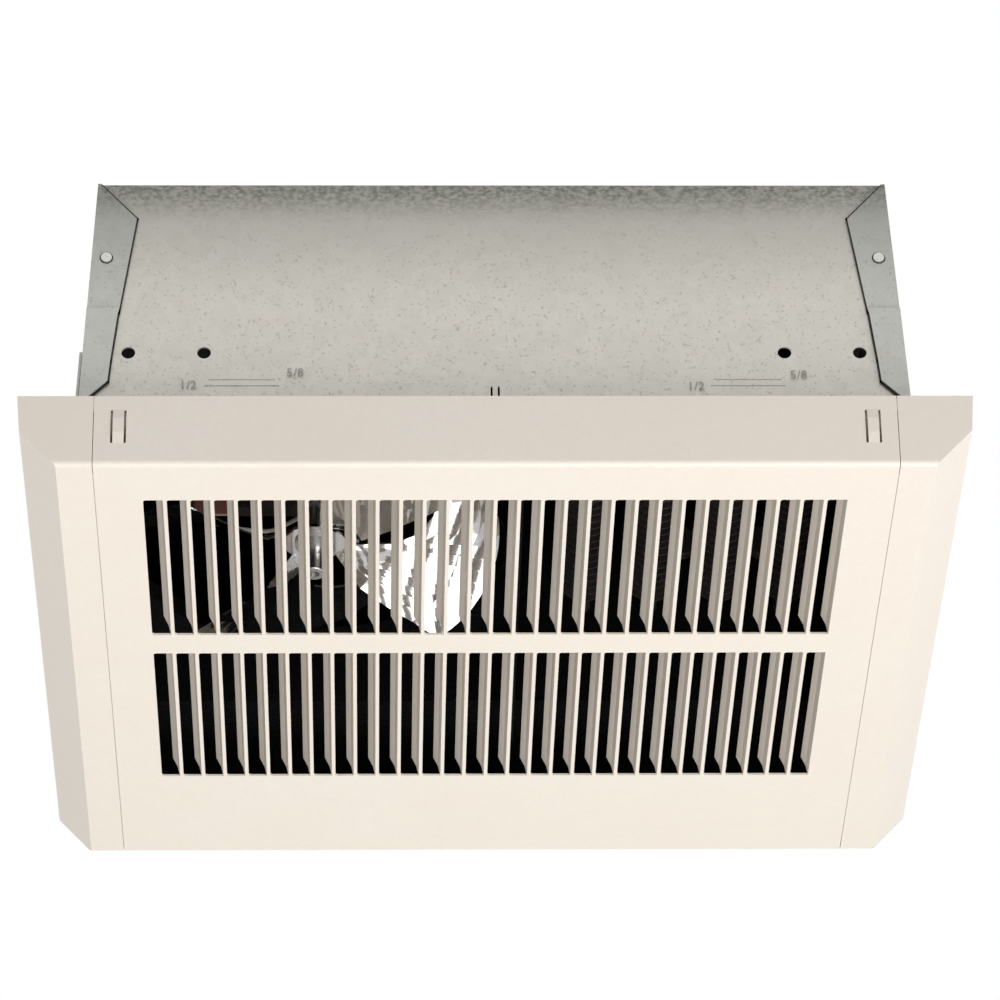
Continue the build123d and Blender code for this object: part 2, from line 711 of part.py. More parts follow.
# Four spring clips: legs on the inside of the box walls, noses behind the grille bridges
with BuildPart() as grille_spring_clips:
    for wall in (-1, 1):
        leg_y = box_half_depth - BOX_SHEET
        nose_y = trim_half_depth - TRIM_SHEET - CLIP_WALL_GAP + CLIP_NOSE_ROUND
        outline = [
            (leg_y, CLIP_LEG_TOP),
            (leg_y, -CLIP_BEND),
            (nose_y, CLIP_NOSE_Z),
            (nose_y - CLIP_TAIL, CLIP_NOSE_Z - CLIP_NOSE_RISE),
        ]
        for side in (-1, 1):
            with BuildPart(mode=Mode.PRIVATE) as clip:
                with BuildSketch(Plane.YZ.offset(side * bridge_x)):
                    with BuildLine():
                        run = FilletPolyline([(wall * y, z) for y, z in outline], radius=CLIP_BEND)
                        offset(run, amount=CLIP_SHEET, side=Side.LEFT if wall < 0 else Side.RIGHT)
                    make_face()
                extrude(amount=CLIP_WIDTH / 2, both=True)
            add(clip.part)
grille_spring_clips.part.label = "grille_spring_clips"
export_step(grille_spring_clips.part, "parts/grille_spring_clips.step")


# Fan deck with its rolled orifice
deck_near = -box_half_depth + BOX_SHEET
deck_left = -inner_half(DECK_Z + DECK_FLANGE)
with BuildPart() as fan_deck:
    with BuildSketch(Plane.XY.offset(DECK_Z)):
        with Locations((deck_left, deck_near)):
            Rectangle(DIVIDER_X - deck_left, PARTITION_Y - deck_near, align=(Align.MIN, Align.MIN))
        with Locations((FAN_X, FAN_Y)):
            Circle(ORIFICE_RADIUS, mode=Mode.SUBTRACT)
    extrude(amount=DECK_SHEET)
    with BuildSketch(Plane.XY.offset(DECK_Z - ORIFICE_LIP)):
        with Locations((FAN_X, FAN_Y)):
            Circle(ORIFICE_RADIUS + DECK_SHEET)
            Circle(ORIFICE_RADIUS, mode=Mode.SUBTRACT)
    extrude(amount=ORIFICE_LIP)
    with BuildSketch(Plane.XY.offset(DECK_Z)):
        with Locations((deck_left, deck_near)):
            Rectangle(DIVIDER_X - deck_left, DECK_SHEET, align=(Align.MIN, Align.MIN))
    extrude(amount=DECK_FLANGE)
    with BuildSketch(Plane.XY.offset(DECK_Z)):
        for side in (-1, 1):
            with Locations((FAN_X + side * STRAP_SCREW_SPREAD, FAN_Y)):
                with GridLocations(1, 2 * (BRIDGE_LEG_SPREAD + BRIDGE_FOOT / 2), 1, 2):
                    Circle(SMALL_SCREW_RADIUS)
    extrude(amount=DECK_SHEET, mode=Mode.SUBTRACT)
fan_deck.part.label = "fan_deck"
export_step(fan_deck.part, "parts/fan_deck.step")


# Air divider between the fan side and the heating side
with BuildPart() as air_divider:
    with BuildSketch(Plane.XY.offset(DIVIDER_BOTTOM)):
        with Locations((DIVIDER_X, deck_near)):
            Rectangle(DECK_SHEET, PARTITION_Y - deck_near, align=(Align.MIN, Align.MIN))
    extrude(amount=DIVIDER_TOP - DIVIDER_BOTTOM)
    with BuildSketch(Plane.XY):
        with Locations((DIVIDER_X, deck_near)):
            Rectangle(DECK_FLANGE, DECK_SHEET, align=(Align.MIN, Align.MIN))
    extrude(amount=DIVIDER_TOP)
air_divider.part.label = "air_divider"
export_step(air_divider.part, "parts/air_divider.step")


# Partition between the air path and the wiring compartment, standing on its floor
partition_top = BOX_HEIGHT - 2 * BOX_SHEET
floor_half = inner_half(DECK_SHEET) - SEAM_GAP
partition_back = PARTITION_Y + DECK_SHEET
box_far = box_half_depth - BOX_SHEET
with BuildPart() as wiring_partition:
    with BuildSketch(Plane.XZ.offset(-PARTITION_Y)):
        with BuildLine():
            Polyline(
                (-floor_half, DECK_SHEET),
                (floor_half, DECK_SHEET),
                (inner_half(partition_top) - SEAM_GAP, partition_top),
                (-inner_half(partition_top) + SEAM_GAP, partition_top),
                close=True,
            )
        make_face()
        with Locations([(x, ELEMENT_Z) for x in element_runs]):
            Circle(TUBE_RADIUS + SCREW_CLEARANCE, mode=Mode.SUBTRACT)
        with Locations((CUTOUT_X, THERMOSTAT_Z), (DELAY_X, THERMOSTAT_Z)):
            Circle(THERMOSTAT_CAP_RADIUS + SCREW_CLEARANCE, mode=Mode.SUBTRACT)
            with GridLocations(2 * THERMOSTAT_SCREW_SPREAD, 1, 2, 1):
                Circle(SMALL_SCREW_RADIUS, mode=Mode.SUBTRACT)
        with Locations((BUSHING_X, BUSHING_Z)):
            Circle(BUSHING_RADIUS, mode=Mode.SUBTRACT)
        with Locations((BLOCK_X, BLOCK_Z)):
            with GridLocations(BLOCK_WIDTH - BLOCK_WAY, 1, 2, 1):
                Circle(SMALL_SCREW_RADIUS, mode=Mode.SUBTRACT)
    extrude(amount=-DECK_SHEET)
    with BuildSketch(Plane.XY.offset(partition_top)):
        with Locations((0, PARTITION_Y)):
            Rectangle(PARTITION_FLANGE_LENGTH, PARTITION_FLANGE, align=(Align.CENTER, Align.MIN))
    extrude(amount=BOX_SHEET)
wiring_partition.part.label = "wiring_partition"
export_step(wiring_partition.part, "parts/wiring_partition.step")

with BuildPart() as wiring_floor:
    with BuildSketch(Plane.XY):
        with Locations((0, PARTITION_Y)):
            Rectangle(
                2 * floor_half,
                box_far - PARTITION_Y - FLOOR_EDGE_GAP,
                align=(Align.CENTER, Align.MIN),
            )
    extrude(amount=DECK_SHEET)
wiring_floor.part.label = "wiring_floor"
export_step(wiring_floor.part, "parts/wiring_floor.step")


# Motor bridge: a strap over the orifice that carries the motor
with BuildPart() as motor_bridge:
    deck_top = DECK_Z + DECK_SHEET
    half_reach = BRIDGE_LEG_SPREAD + BRIDGE_FOOT
    with BuildSketch(Plane.YZ.offset(FAN_X)):
        with BuildLine():
            Polyline(
                (FAN_Y - half_reach, deck_top),
                (FAN_Y - BRIDGE_LEG_SPREAD + BRIDGE_STRAP_SHEET, deck_top),
                (FAN_Y - BRIDGE_LEG_SPREAD + BRIDGE_STRAP_SHEET, bridge_under),
                (FAN_Y + BRIDGE_LEG_SPREAD - BRIDGE_STRAP_SHEET, bridge_under),
                (FAN_Y + BRIDGE_LEG_SPREAD - BRIDGE_STRAP_SHEET, deck_top),
                (FAN_Y + half_reach, deck_top),
                (FAN_Y + half_reach, deck_top + BRIDGE_STRAP_SHEET),
                (FAN_Y + BRIDGE_LEG_SPREAD, deck_top + BRIDGE_STRAP_SHEET),
                (FAN_Y + BRIDGE_LEG_SPREAD, bridge_under + BRIDGE_STRAP_SHEET),
                (FAN_Y - BRIDGE_LEG_SPREAD, bridge_under + BRIDGE_STRAP_SHEET),
                (FAN_Y - BRIDGE_LEG_SPREAD, deck_top + BRIDGE_STRAP_SHEET),
                (FAN_Y - half_reach, deck_top + BRIDGE_STRAP_SHEET),
                close=True,
            )
        make_face()
    extrude(amount=BRIDGE_STRAP_WIDTH / 2, both=True)
    with BuildSketch(Plane.XY):
        with Locations((FAN_X, FAN_Y)):
            with GridLocations(1, 2 * MOTOR_SCREW_SPREAD, 1, 2):
                Circle(MOTOR_SCREW_RADIUS)
            with GridLocations(2 * STRAP_SCREW_SPREAD, 2 * half_reach - BRIDGE_FOOT, 2, 2):
                Circle(SMALL_SCREW_RADIUS)
    extrude(amount=BOX_HEIGHT, mode=Mode.SUBTRACT)
motor_bridge.part.label = "motor_bridge"
export_step(motor_bridge.part, "parts/motor_bridge.step")

with BuildPart() as motor_bridge_screws:
    strap_top = deck_top + BRIDGE_STRAP_SHEET
    with BuildSketch(Plane.XY.offset(strap_top)):
        with Locations((FAN_X, FAN_Y)):
            with GridLocations(2 * STRAP_SCREW_SPREAD, 2 * half_reach - BRIDGE_FOOT, 2, 2):
                Circle(SMALL_HEAD_RADIUS)
    extrude(amount=SMALL_HEAD_HEIGHT)
    with BuildSketch(Plane.XY.offset(DECK_Z - SCREW_TIP)):
        with Locations((FAN_X, FAN_Y)):
            with GridLocations(2 * STRAP_SCREW_SPREAD, 2 * half_reach - BRIDGE_FOOT, 2, 2):
                Circle(SMALL_SCREW_RADIUS)
    extrude(amount=strap_top - DECK_Z + SCREW_TIP)
motor_bridge_screws.part.label = "motor_bridge_screws"
export_step(motor_bridge_screws.part, "parts/motor_bridge_screws.step")


# Shaded-pole motor: laminated core with a window for the coil and a bore for the rotor
with BuildPart() as stator_core:
    core_left_x = FAN_X - CORE_LEFT
    with BuildSketch(Plane.XY.offset(CORE_BOTTOM)):
        with Locations((core_left_x, FAN_Y)):
            Rectangle(
                CORE_LEFT + CORE_RIGHT,
                2 * CORE_HALF_DEPTH,
                align=(Align.MIN, Align.CENTER),
            )
        with Locations((core_left_x + CORE_LEG, FAN_Y)):
            Rectangle(
                CORE_WINDOW,
                2 * leg_half_length,
                align=(Align.MIN, Align.CENTER),
                mode=Mode.SUBTRACT,
            )
        with Locations((FAN_X, FAN_Y)):
            Circle(bore_radius, mode=Mode.SUBTRACT)
            with GridLocations(1, 2 * MOTOR_SCREW_SPREAD, 1, 2):
                Circle(MOTOR_SCREW_RADIUS + SCREW_CLEARANCE, mode=Mode.SUBTRACT)
        for wall in (-1, 1):
            with Locations((FAN_X + wall * SHADING_X, FAN_Y + wall * SHADING_Y)):
                Rectangle(SHADING_BAR, SHADING_BAR, mode=Mode.SUBTRACT)
    extrude(amount=CORE_STACK)
stator_core.part.label = "stator_core"
export_step(stator_core.part, "parts/stator_core.step")

with BuildPart() as shading_rings:
    for wall in (-1, 1):
        inner_y = FAN_Y + wall * (SHADING_Y - SHADING_BAR / 2)
        outer_y = FAN_Y + wall * (CORE_HALF_DEPTH + SHADING_BAR)
        middle_y = (inner_y + outer_y) / 2
        middle_z = CORE_BOTTOM + CORE_STACK / 2
        ring_width = abs(outer_y - inner_y)
        ring_height = CORE_STACK + 2 * SHADING_BAR
        with BuildSketch(Plane.YZ.offset(FAN_X + wall * SHADING_X)):
            with Locations((middle_y, middle_z)):
                Rectangle(ring_width, ring_height)
                Rectangle(
                    ring_width - 2 * SHADING_BAR,
                    ring_height - 2 * SHADING_BAR,
                    mode=Mode.SUBTRACT,
                )
        extrude(amount=SHADING_BAR / 2, both=True)
shading_rings.part.label = "shading_rings"
export_step(shading_rings.part, "parts/shading_rings.step")

bobbin_half_x = CORE_LEG / 2 + SEAT_GAP
bobbin_half_z = CORE_STACK / 2 + SEAT_GAP
bobbin_half_y = leg_half_length - SEAT_GAP
bobbin_plane = Plane.XZ.offset(-FAN_Y)
bobbin_centre = (leg_centre_x, CORE_BOTTOM + CORE_STACK / 2)
with BuildPart() as coil_bobbin:
    with BuildSketch(bobbin_plane):
        with Locations(bobbin_centre):
            Rectangle(2 * (bobbin_half_x + BOBBIN_WALL), 2 * (bobbin_half_z + BOBBIN_WALL))
    extrude(amount=bobbin_half_y, both=True)
    for wall in (-1, 1):
        with BuildSketch(Plane.XZ.offset(-(FAN_Y + wall * (bobbin_half_y - BOBBIN_WALL)))):
            with Locations(bobbin_centre):
                RectangleRounded(
                    2 * (bobbin_half_x + BOBBIN_WALL + COIL_BUILD),
                    2 * (bobbin_half_z + BOBBIN_WALL + COIL_BUILD),
                    COIL_BUILD / 2,
                )
        extrude(amount=-wall * BOBBIN_WALL)
    with BuildSketch(bobbin_plane):
        with Locations(bobbin_centre):
            Rectangle(2 * bobbin_half_x, 2 * bobbin_half_z)
    extrude(amount=CORE_HALF_DEPTH, both=True, mode=Mode.SUBTRACT)
coil_bobbin.part.label = "coil_bobbin"
export_step(coil_bobbin.part, "parts/coil_bobbin.step")

with BuildPart() as motor_coil:
    with BuildSketch(bobbin_plane):
        with Locations(bobbin_centre):
            RectangleRounded(
                2 * (bobbin_half_x + BOBBIN_WALL + COIL_BUILD) - COIL_END_GAP,
                2 * (bobbin_half_z + BOBBIN_WALL + COIL_BUILD) - COIL_END_GAP,
                COIL_BUILD / 2,
            )
            Rectangle(
                2 * (bobbin_half_x + BOBBIN_WALL),
                2 * (bobbin_half_z + BOBBIN_WALL),
                mode=Mode.SUBTRACT,
            )
    extrude(amount=bobbin_half_y - BOBBIN_WALL, both=True)
motor_coil.part.label = "motor_coil"
export_step(motor_coil.part, "parts/motor_coil.step")


def bearing_bracket(base_z, away):
    """A bar across the core with a boss for one bearing; away is the boss direction."""
    with BuildPart() as bracket:
        plane = Plane(origin=(FAN_X, FAN_Y, base_z), x_dir=(1, 0, 0), z_dir=(0, 0, away))
        with BuildSketch(plane):
            RectangleRounded(BRACKET_WIDTH, BRACKET_LENGTH, BRACKET_WIDTH / 3)
            Circle(BRACKET_BOSS_RADIUS)
            with GridLocations(1, 2 * MOTOR_SCREW_SPREAD, 1, 2):
                Circle(MOTOR_SCREW_RADIUS + SCREW_CLEARANCE, mode=Mode.SUBTRACT)
        extrude(amount=BRACKET_THICK)
        with BuildSketch(plane.offset(BRACKET_THICK)):
            Circle(BRACKET_BOSS_RADIUS)
        extrude(amount=BRACKET_BOSS_HEIGHT)
        with BuildSketch(plane):
            Circle(SHAFT_RADIUS + AIR_GAP)
        extrude(amount=BRACKET_THICK + BRACKET_BOSS_HEIGHT, mode=Mode.SUBTRACT)
        with BuildSketch(plane.offset(BRACKET_THICK)):
            Circle(BEARING_RADIUS)
        extrude(amount=BEARING_HEIGHT, mode=Mode.SUBTRACT)
    return bracket


lower_bearing_bracket = bearing_bracket(CORE_BOTTOM, -1)
lower_bearing_bracket.part.label = "lower_bearing_bracket"
export_step(lower_bearing_bracket.part, "parts/lower_bearing_bracket.step")

upper_bearing_bracket = bearing_bracket(core_top, 1)
upper_bearing_bracket.part.label = "upper_bearing_bracket"
export_step(upper_bearing_bracket.part, "parts/upper_bearing_bracket.step")

with BuildPart() as motor_bearings:
    for base_z, away in ((CORE_BOTTOM - BRACKET_THICK, -1), (core_top + BRACKET_THICK, 1)):
        with BuildSketch(Plane.XY.offset(base_z)):
            with Locations((FAN_X, FAN_Y)):
                Circle(BEARING_RADIUS)
                Circle(SHAFT_RADIUS + RUNNING_FIT, mode=Mode.SUBTRACT)
        extrude(amount=away * BEARING_HEIGHT)
motor_bearings.part.label = "motor_bearings"
export_step(motor_bearings.part, "parts/motor_bearings.step")

with BuildPart() as motor_grommets:
    with BuildSketch(Plane.XY.offset(core_top + BRACKET_THICK)):
        with Locations((FAN_X, FAN_Y)):
            with GridLocations(1, 2 * MOTOR_SCREW_SPREAD, 1, 2):
                Circle(GROMMET_RADIUS)
                Circle(MOTOR_SCREW_RADIUS, mode=Mode.SUBTRACT)
    extrude(amount=GROMMET_HEIGHT)
    waists = motor_grommets.faces().filter_by(GeomType.CYLINDER).edges().group_by(Axis.Z)
    fillet([e for e in waists[0] + waists[-1] if e.radius > MOTOR_SCREW_RADIUS * 2], GROMMET_ROUND)
motor_grommets.part.label = "motor_grommets"
export_step(motor_grommets.part, "parts/motor_grommets.step")

with BuildPart() as motor_screws:
    screw_low = CORE_BOTTOM - BRACKET_THICK
    screw_high = bridge_under + BRIDGE_STRAP_SHEET
    with BuildSketch(Plane.XY.offset(screw_low)):
        with Locations((FAN_X, FAN_Y)):
            with GridLocations(1, 2 * MOTOR_SCREW_SPREAD, 1, 2):
                Circle(MOTOR_SCREW_RADIUS)
    extrude(amount=screw_high - screw_low + MOTOR_HEAD_HEIGHT)
    with BuildSketch(Plane.XY.offset(screw_low)):
        with Locations((FAN_X, FAN_Y)):
            with GridLocations(1, 2 * MOTOR_SCREW_SPREAD, 1, 2):
                Circle(MOTOR_HEAD_RADIUS)
    extrude(amount=-MOTOR_HEAD_HEIGHT)
    with BuildSketch(Plane.XY.offset(screw_high)):
        with Locations((FAN_X, FAN_Y)):
            with GridLocations(1, 2 * MOTOR_SCREW_SPREAD, 1, 2):
                RegularPolygon(MOTOR_HEAD_RADIUS, 6)
    extrude(amount=MOTOR_HEAD_HEIGHT)
motor_screws.part.label = "motor_screws"
export_step(motor_screws.part, "parts/motor_screws.step")


# Turning group: rotor, shaft, hub and fan
upper_bearing_top = core_top + BRACKET_THICK + BEARING_HEIGHT
with BuildPart() as motor_shaft:
    with BuildSketch(Plane.XY.offset(shaft_bottom)):
        with Locations((FAN_X, FAN_Y)):
            Circle(SHAFT_RADIUS)
    extrude(amount=upper_bearing_top - shaft_bottom)
    chamfer(motor_shaft.edges().filter_by(GeomType.CIRCLE), SHAFT_RADIUS / 5)
motor_shaft.part.label = "motor_shaft"
export_step(motor_shaft.part, "parts/motor_shaft.step")

with BuildPart() as motor_rotor:
    with BuildSketch(Plane.XY.offset(CORE_BOTTOM + ROTOR_END_GAP)):
        with Locations((FAN_X, FAN_Y)):
            Circle(ROTOR_RADIUS)
            Circle(SHAFT_RADIUS, mode=Mode.SUBTRACT)
    extrude(amount=CORE_STACK - 2 * ROTOR_END_GAP)
motor_rotor.part.label = "motor_rotor"
export_step(motor_rotor.part, "parts/motor_rotor.step")

with BuildPart() as fan_hub:
    with BuildSketch(Plane.XY.offset(HUB_BOTTOM)):
        with Locations((FAN_X, FAN_Y)):
            Circle(HUB_RADIUS)
    extrude(amount=hub_top + SPIDER_SHEET - HUB_BOTTOM)
    fillet(fan_hub.edges().group_by(Axis.Z)[0], HUB_RADIUS / 6)
    for base_z in (hub_top - HUB_FLANGE, hub_top + SPIDER_SHEET):
        with BuildSketch(Plane.XY.offset(base_z)):
            with Locations((FAN_X, FAN_Y)):
                Circle(HUB_FLANGE_RADIUS)
        extrude(amount=HUB_FLANGE)
    with BuildSketch(Plane.XY.offset(HUB_BOTTOM)):
        with Locations((FAN_X, FAN_Y)):
            Circle(SHAFT_RADIUS)
    extrude(amount=BOX_HEIGHT, mode=Mode.SUBTRACT)
    set_screw_z = (HUB_BOTTOM + hub_top) / 2
    with BuildSketch(Plane.YZ.offset(FAN_X)):
        with Locations((FAN_Y, set_screw_z)):
            Circle(SET_SCREW_RADIUS)
    extrude(amount=HUB_FLANGE_RADIUS, mode=Mode.SUBTRACT)
fan_hub.part.label = "fan_hub"
export_step(fan_hub.part, "parts/fan_hub.step")

with BuildPart() as hub_set_screw:
    with BuildSketch(Plane.YZ.offset(FAN_X + SHAFT_RADIUS)):
        with Locations((FAN_Y, set_screw_z)):
            Circle(SET_SCREW_RADIUS)
    extrude(amount=HUB_RADIUS - SHAFT_RADIUS - SEAM_GAP)
    with BuildSketch(Plane.YZ.offset(FAN_X + HUB_RADIUS - SEAM_GAP)):
        with Locations((FAN_Y, set_screw_z)):
            RegularPolygon(SET_SCREW_RADIUS / 2, 6)
    extrude(amount=-SET_SCREW_RADIUS, mode=Mode.SUBTRACT)
hub_set_screw.part.label = "hub_set_screw"
export_step(hub_set_screw.part, "parts/hub_set_screw.step")


def blade_height(angle, radius):
    """Height of the blade's underside; the twist grows quickly outside the spider."""
    tip_z = BLADE_LOW_Z + BLADE_RISE * (BLADE_LOW_ANGLE - angle) / BLADE_SPAN
    near_root = min(1, (radius - SPIDER_RADIUS) / BLADE_TWIST_RUN)
    outward = max(0, (radius - SPIDER_RADIUS - BLADE_TWIST_RUN) / FAN_RADIUS)
    share = BLADE_ROOT_TWIST * near_root + (1 - BLADE_ROOT_TWIST) * outward
    return blade_root_z + (tip_z - blade_root_z) * min(1, share)


def blade_section(angle):
    """Inner and outer radius of the blade at an angle: a swept leading edge and round tips."""
    low_side = (BLADE_LOW_ANGLE - angle) / BLADE_SPAN
    inner = SPIDER_RADIUS + BLADE_SWEEP * max(0, low_side - BLADE_ROOT_SHARE) ** BLADE_SWEEP_CURVE
    corner = BLADE_CORNER * (2 * low_side - 1) ** 6
    return inner, FAN_RADIUS - corner


def blade_camber(radius, root, tip):
    """Shallow crown pressed along the blade between root and tip."""
    share = (radius - root) / (tip - root)
    return BLADE_CAMBER * 4 * share * (1 - share)


with BuildPart() as fan_blade:
    with BuildSketch(Plane.XY.offset(hub_top)):
        with Locations((FAN_X, FAN_Y)):
            Circle(SPIDER_RADIUS + BLADE_ROOT_OVERLAP)
    extrude(amount=SPIDER_SHEET)
    with BuildPart(mode=Mode.PRIVATE) as one_blade:
        for step in range(BLADE_STATIONS):
            angle = BLADE_LOW_ANGLE - BLADE_SPAN * step / (BLADE_STATIONS - 1)
            root, tip = blade_section(angle)
            radii = [root + (tip - root) * point / (BLADE_POINTS - 1) for point in range(BLADE_POINTS)]
            turn = radians(angle)
            plane = Plane(
                origin=(FAN_X, FAN_Y, 0),
                x_dir=(cos(turn), sin(turn), 0),
                z_dir=(sin(turn), -cos(turn), 0),
            )
            under = [(r, blade_height(angle, r) + blade_camber(r, root, tip)) for r in radii]
            over = [(r, z + BLADE_SHEET) for r, z in reversed(under)]
            with BuildSketch(plane):
                with BuildLine():
                    Polyline(under + over, close=True)
                make_face()
        loft(ruled=True)
    for turn in range(BLADE_COUNT):
        add(one_blade.part.rotate(fan_axis, 360 / BLADE_COUNT * turn))
    with BuildSketch(Plane.XY.offset(hub_top)):
        with Locations((FAN_X, FAN_Y)):
            Circle(HUB_RADIUS)
    extrude(amount=SPIDER_SHEET, mode=Mode.SUBTRACT)
fan_blade.part.label = "fan_blade"
export_step(fan_blade.part, "parts/fan_blade.step")


# Finned tubular heating elements, each bent to a U, with their fins
tube_end = partition_back + TUBE_STANDOUT
with BuildPart() as heating_elements:
    for first in element_runs[::2]:
        last = first + ELEMENT_PITCH
        with BuildLine(Plane.XY.offset(ELEMENT_Z)) as route:
            Line((first, tube_end), (first, BEND_CENTRE_Y))
            ThreePointArc(
                (first, BEND_CENTRE_Y),
                ((first + last) / 2, BEND_CENTRE_Y - ELEMENT_PITCH / 2),
                (last, BEND_CENTRE_Y),
            )
            Line((last, BEND_CENTRE_Y), (last, tube_end))
        with BuildSketch(Plane(origin=(first, tube_end, ELEMENT_Z), z_dir=(0, -1, 0))):
            Circle(TUBE_RADIUS)
        sweep(path=route.wires()[0])
heating_elements.part.label = "heating_elements"
export_step(heating_elements.part, "parts/heating_elements.step")

fin_count = int((FIN_FAR_Y - FIN_NEAR_Y) / FIN_PITCH) + 1
fin_collar = TUBE_RADIUS + FIN_THICK
with BuildPart() as element_fins:
    for x in element_runs:
        comb = [(x + TUBE_RADIUS, FIN_NEAR_Y)]
        for fin in range(fin_count):
            fin_y = FIN_NEAR_Y + fin * FIN_PITCH
            comb.append((x + FIN_RADIUS, fin_y))
            comb.append((x + FIN_RADIUS, fin_y + FIN_THICK))
            comb.append((x + fin_collar, fin_y + FIN_THICK))
            comb.append((x + fin_collar, fin_y + FIN_PITCH))
        comb[-1] = (x + TUBE_RADIUS, comb[-2][1])
        del comb[-2]
        with BuildSketch(Plane.XY.offset(ELEMENT_Z)):
            with BuildLine():
                Polyline(comb, close=True)
            make_face()
        revolve(axis=Axis((x, 0, ELEMENT_Z), (0, 1, 0)))
element_fins.part.label = "element_fins"
export_step(element_fins.part, "parts/element_fins.step")

with BuildPart() as element_support:
    row_middle = (element_runs[0] + element_runs[-1]) / 2
    row_width = element_runs[-1] - element_runs[0] + 2 * FIN_RADIUS
    with BuildSketch(Plane.XZ.offset(-SUPPORT_Y)):
        with Locations((row_middle, ELEMENT_Z - SUPPORT_HEIGHT / 2)):
            Rectangle(
                row_width,
                partition_top - ELEMENT_Z + SUPPORT_HEIGHT / 2,
                align=(Align.CENTER, Align.MIN),
            )
        with Locations([(x, ELEMENT_Z) for x in element_runs]):
            Circle(TUBE_RADIUS + SCREW_CLEARANCE, mode=Mode.SUBTRACT)
    extrude(amount=-DECK_SHEET)
    with BuildSketch(Plane.XY.offset(partition_top)):
        with Locations((row_middle, SUPPORT_Y)):
            Rectangle(row_width, DECK_FLANGE, align=(Align.CENTER, Align.MIN))
    extrude(amount=BOX_SHEET)
element_support.part.label = "element_support"
export_step(element_support.part, "parts/element_support.step")

element_grid = [(x, ELEMENT_Z) for x in element_runs]
with BuildPart() as element_insulators:
    with BuildSketch(Plane.XZ.offset(-tube_end)):
        with Locations(element_grid):
            Circle(INSULATOR_RADIUS)
    extrude(amount=-INSULATOR_LENGTH)
    chamfer(element_insulators.edges().filter_by(GeomType.CIRCLE).group_by(Axis.Y)[-1], INSULATOR_CHAMFER)
    with BuildSketch(Plane.XZ.offset(-tube_end)):
        with Locations(element_grid):
            Circle(TERMINAL_PIN_RADIUS)
    extrude(amount=-2 * INSULATOR_LENGTH, mode=Mode.SUBTRACT)
element_insulators.part.label = "element_insulators"
export_step(element_insulators.part, "parts/element_insulators.step")

pin_end = tube_end + INSULATOR_LENGTH + TERMINAL_PIN_LENGTH
with BuildPart() as element_terminals:
    with BuildSketch(Plane.XZ.offset(-tube_end)):
        with Locations(element_grid):
            Circle(TERMINAL_PIN_RADIUS)
    extrude(amount=-(INSULATOR_LENGTH + TERMINAL_PIN_LENGTH))
    with BuildSketch(Plane.XZ.offset(-(pin_end - SMALL_HEAD_HEIGHT))):
        with Locations(element_grid):
            RegularPolygon(SMALL_HEAD_RADIUS, 6)
    extrude(amount=SMALL_HEAD_HEIGHT * 2)
element_terminals.part.label = "element_terminals"
export_step(element_terminals.part, "parts/element_terminals.step")


def disc_thermostat(x):
    """A disc thermostat: cap through the partition, ears on its back, two blade terminals."""
    with BuildPart() as thermostat:
        ear_back = partition_back + THERMOSTAT_EAR_SHEET
        with BuildSketch(Plane.XZ.offset(-partition_back)):
            with Locations((x, THERMOSTAT_Z)):
                SlotOverall(THERMOSTAT_EAR, THERMOSTAT_EAR_HEIGHT)
                with GridLocations(2 * THERMOSTAT_SCREW_SPREAD, 1, 2, 1):
                    Circle(SMALL_SCREW_RADIUS + SCREW_CLEARANCE, mode=Mode.SUBTRACT)
        extrude(amount=-THERMOSTAT_EAR_SHEET)
        with BuildSketch(Plane.XZ.offset(-ear_back)):
            with Locations((x, THERMOSTAT_Z)):
                Circle(THERMOSTAT_CAP_RADIUS)
        extrude(amount=ear_back - PARTITION_Y + THERMOSTAT_CAP_HEIGHT)
        fillet(thermostat.edges().filter_by(GeomType.CIRCLE).group_by(Axis.Y)[0], THERMOSTAT_ROUND)
        with BuildSketch(Plane.XZ.offset(-ear_back)):
            with Locations((x, THERMOSTAT_Z)):
                Circle(THERMOSTAT_BODY_RADIUS)
        extrude(amount=-THERMOSTAT_BODY_HEIGHT)
        with BuildSketch(Plane.XZ.offset(-(ear_back + THERMOSTAT_BODY_HEIGHT))):
            with Locations((x, THERMOSTAT_Z)):
                with GridLocations(2 * SPADE_SPREAD, 1, 2, 1):
                    Rectangle(SPADE_SHEET, SPADE_WIDTH)
        extrude(amount=-SPADE_LENGTH)
    return thermostat


thermal_cutout = disc_thermostat(CUTOUT_X)
thermal_cutout.part.label = "thermal_cutout"
export_step(thermal_cutout.part, "parts/thermal_cutout.step")

fan_delay_switch = disc_thermostat(DELAY_X)
fan_delay_switch.part.label = "fan_delay_switch"
export_step(fan_delay_switch.part, "parts/fan_delay_switch.step")

with BuildPart() as thermostat_screws:
    ear_back = partition_back + THERMOSTAT_EAR_SHEET
    screw_grid = [(x, THERMOSTAT_Z) for x in (CUTOUT_X, DELAY_X)]
    with BuildSketch(Plane.XZ.offset(-ear_back)):
        with Locations(screw_grid):
            with GridLocations(2 * THERMOSTAT_SCREW_SPREAD, 1, 2, 1):
                Circle(SMALL_SCREW_RADIUS * 3 / 2)
    extrude(amount=-SMALL_HEAD_HEIGHT)
    with BuildSketch(Plane.XZ.offset(-ear_back)):
        with Locations(screw_grid):
            with GridLocations(2 * THERMOSTAT_SCREW_SPREAD, 1, 2, 1):
                Circle(SMALL_SCREW_RADIUS)
    extrude(amount=ear_back - PARTITION_Y + SCREW_TIP)
thermostat_screws.part.label = "thermostat_screws"
export_step(thermostat_screws.part, "parts/thermostat_screws.step")


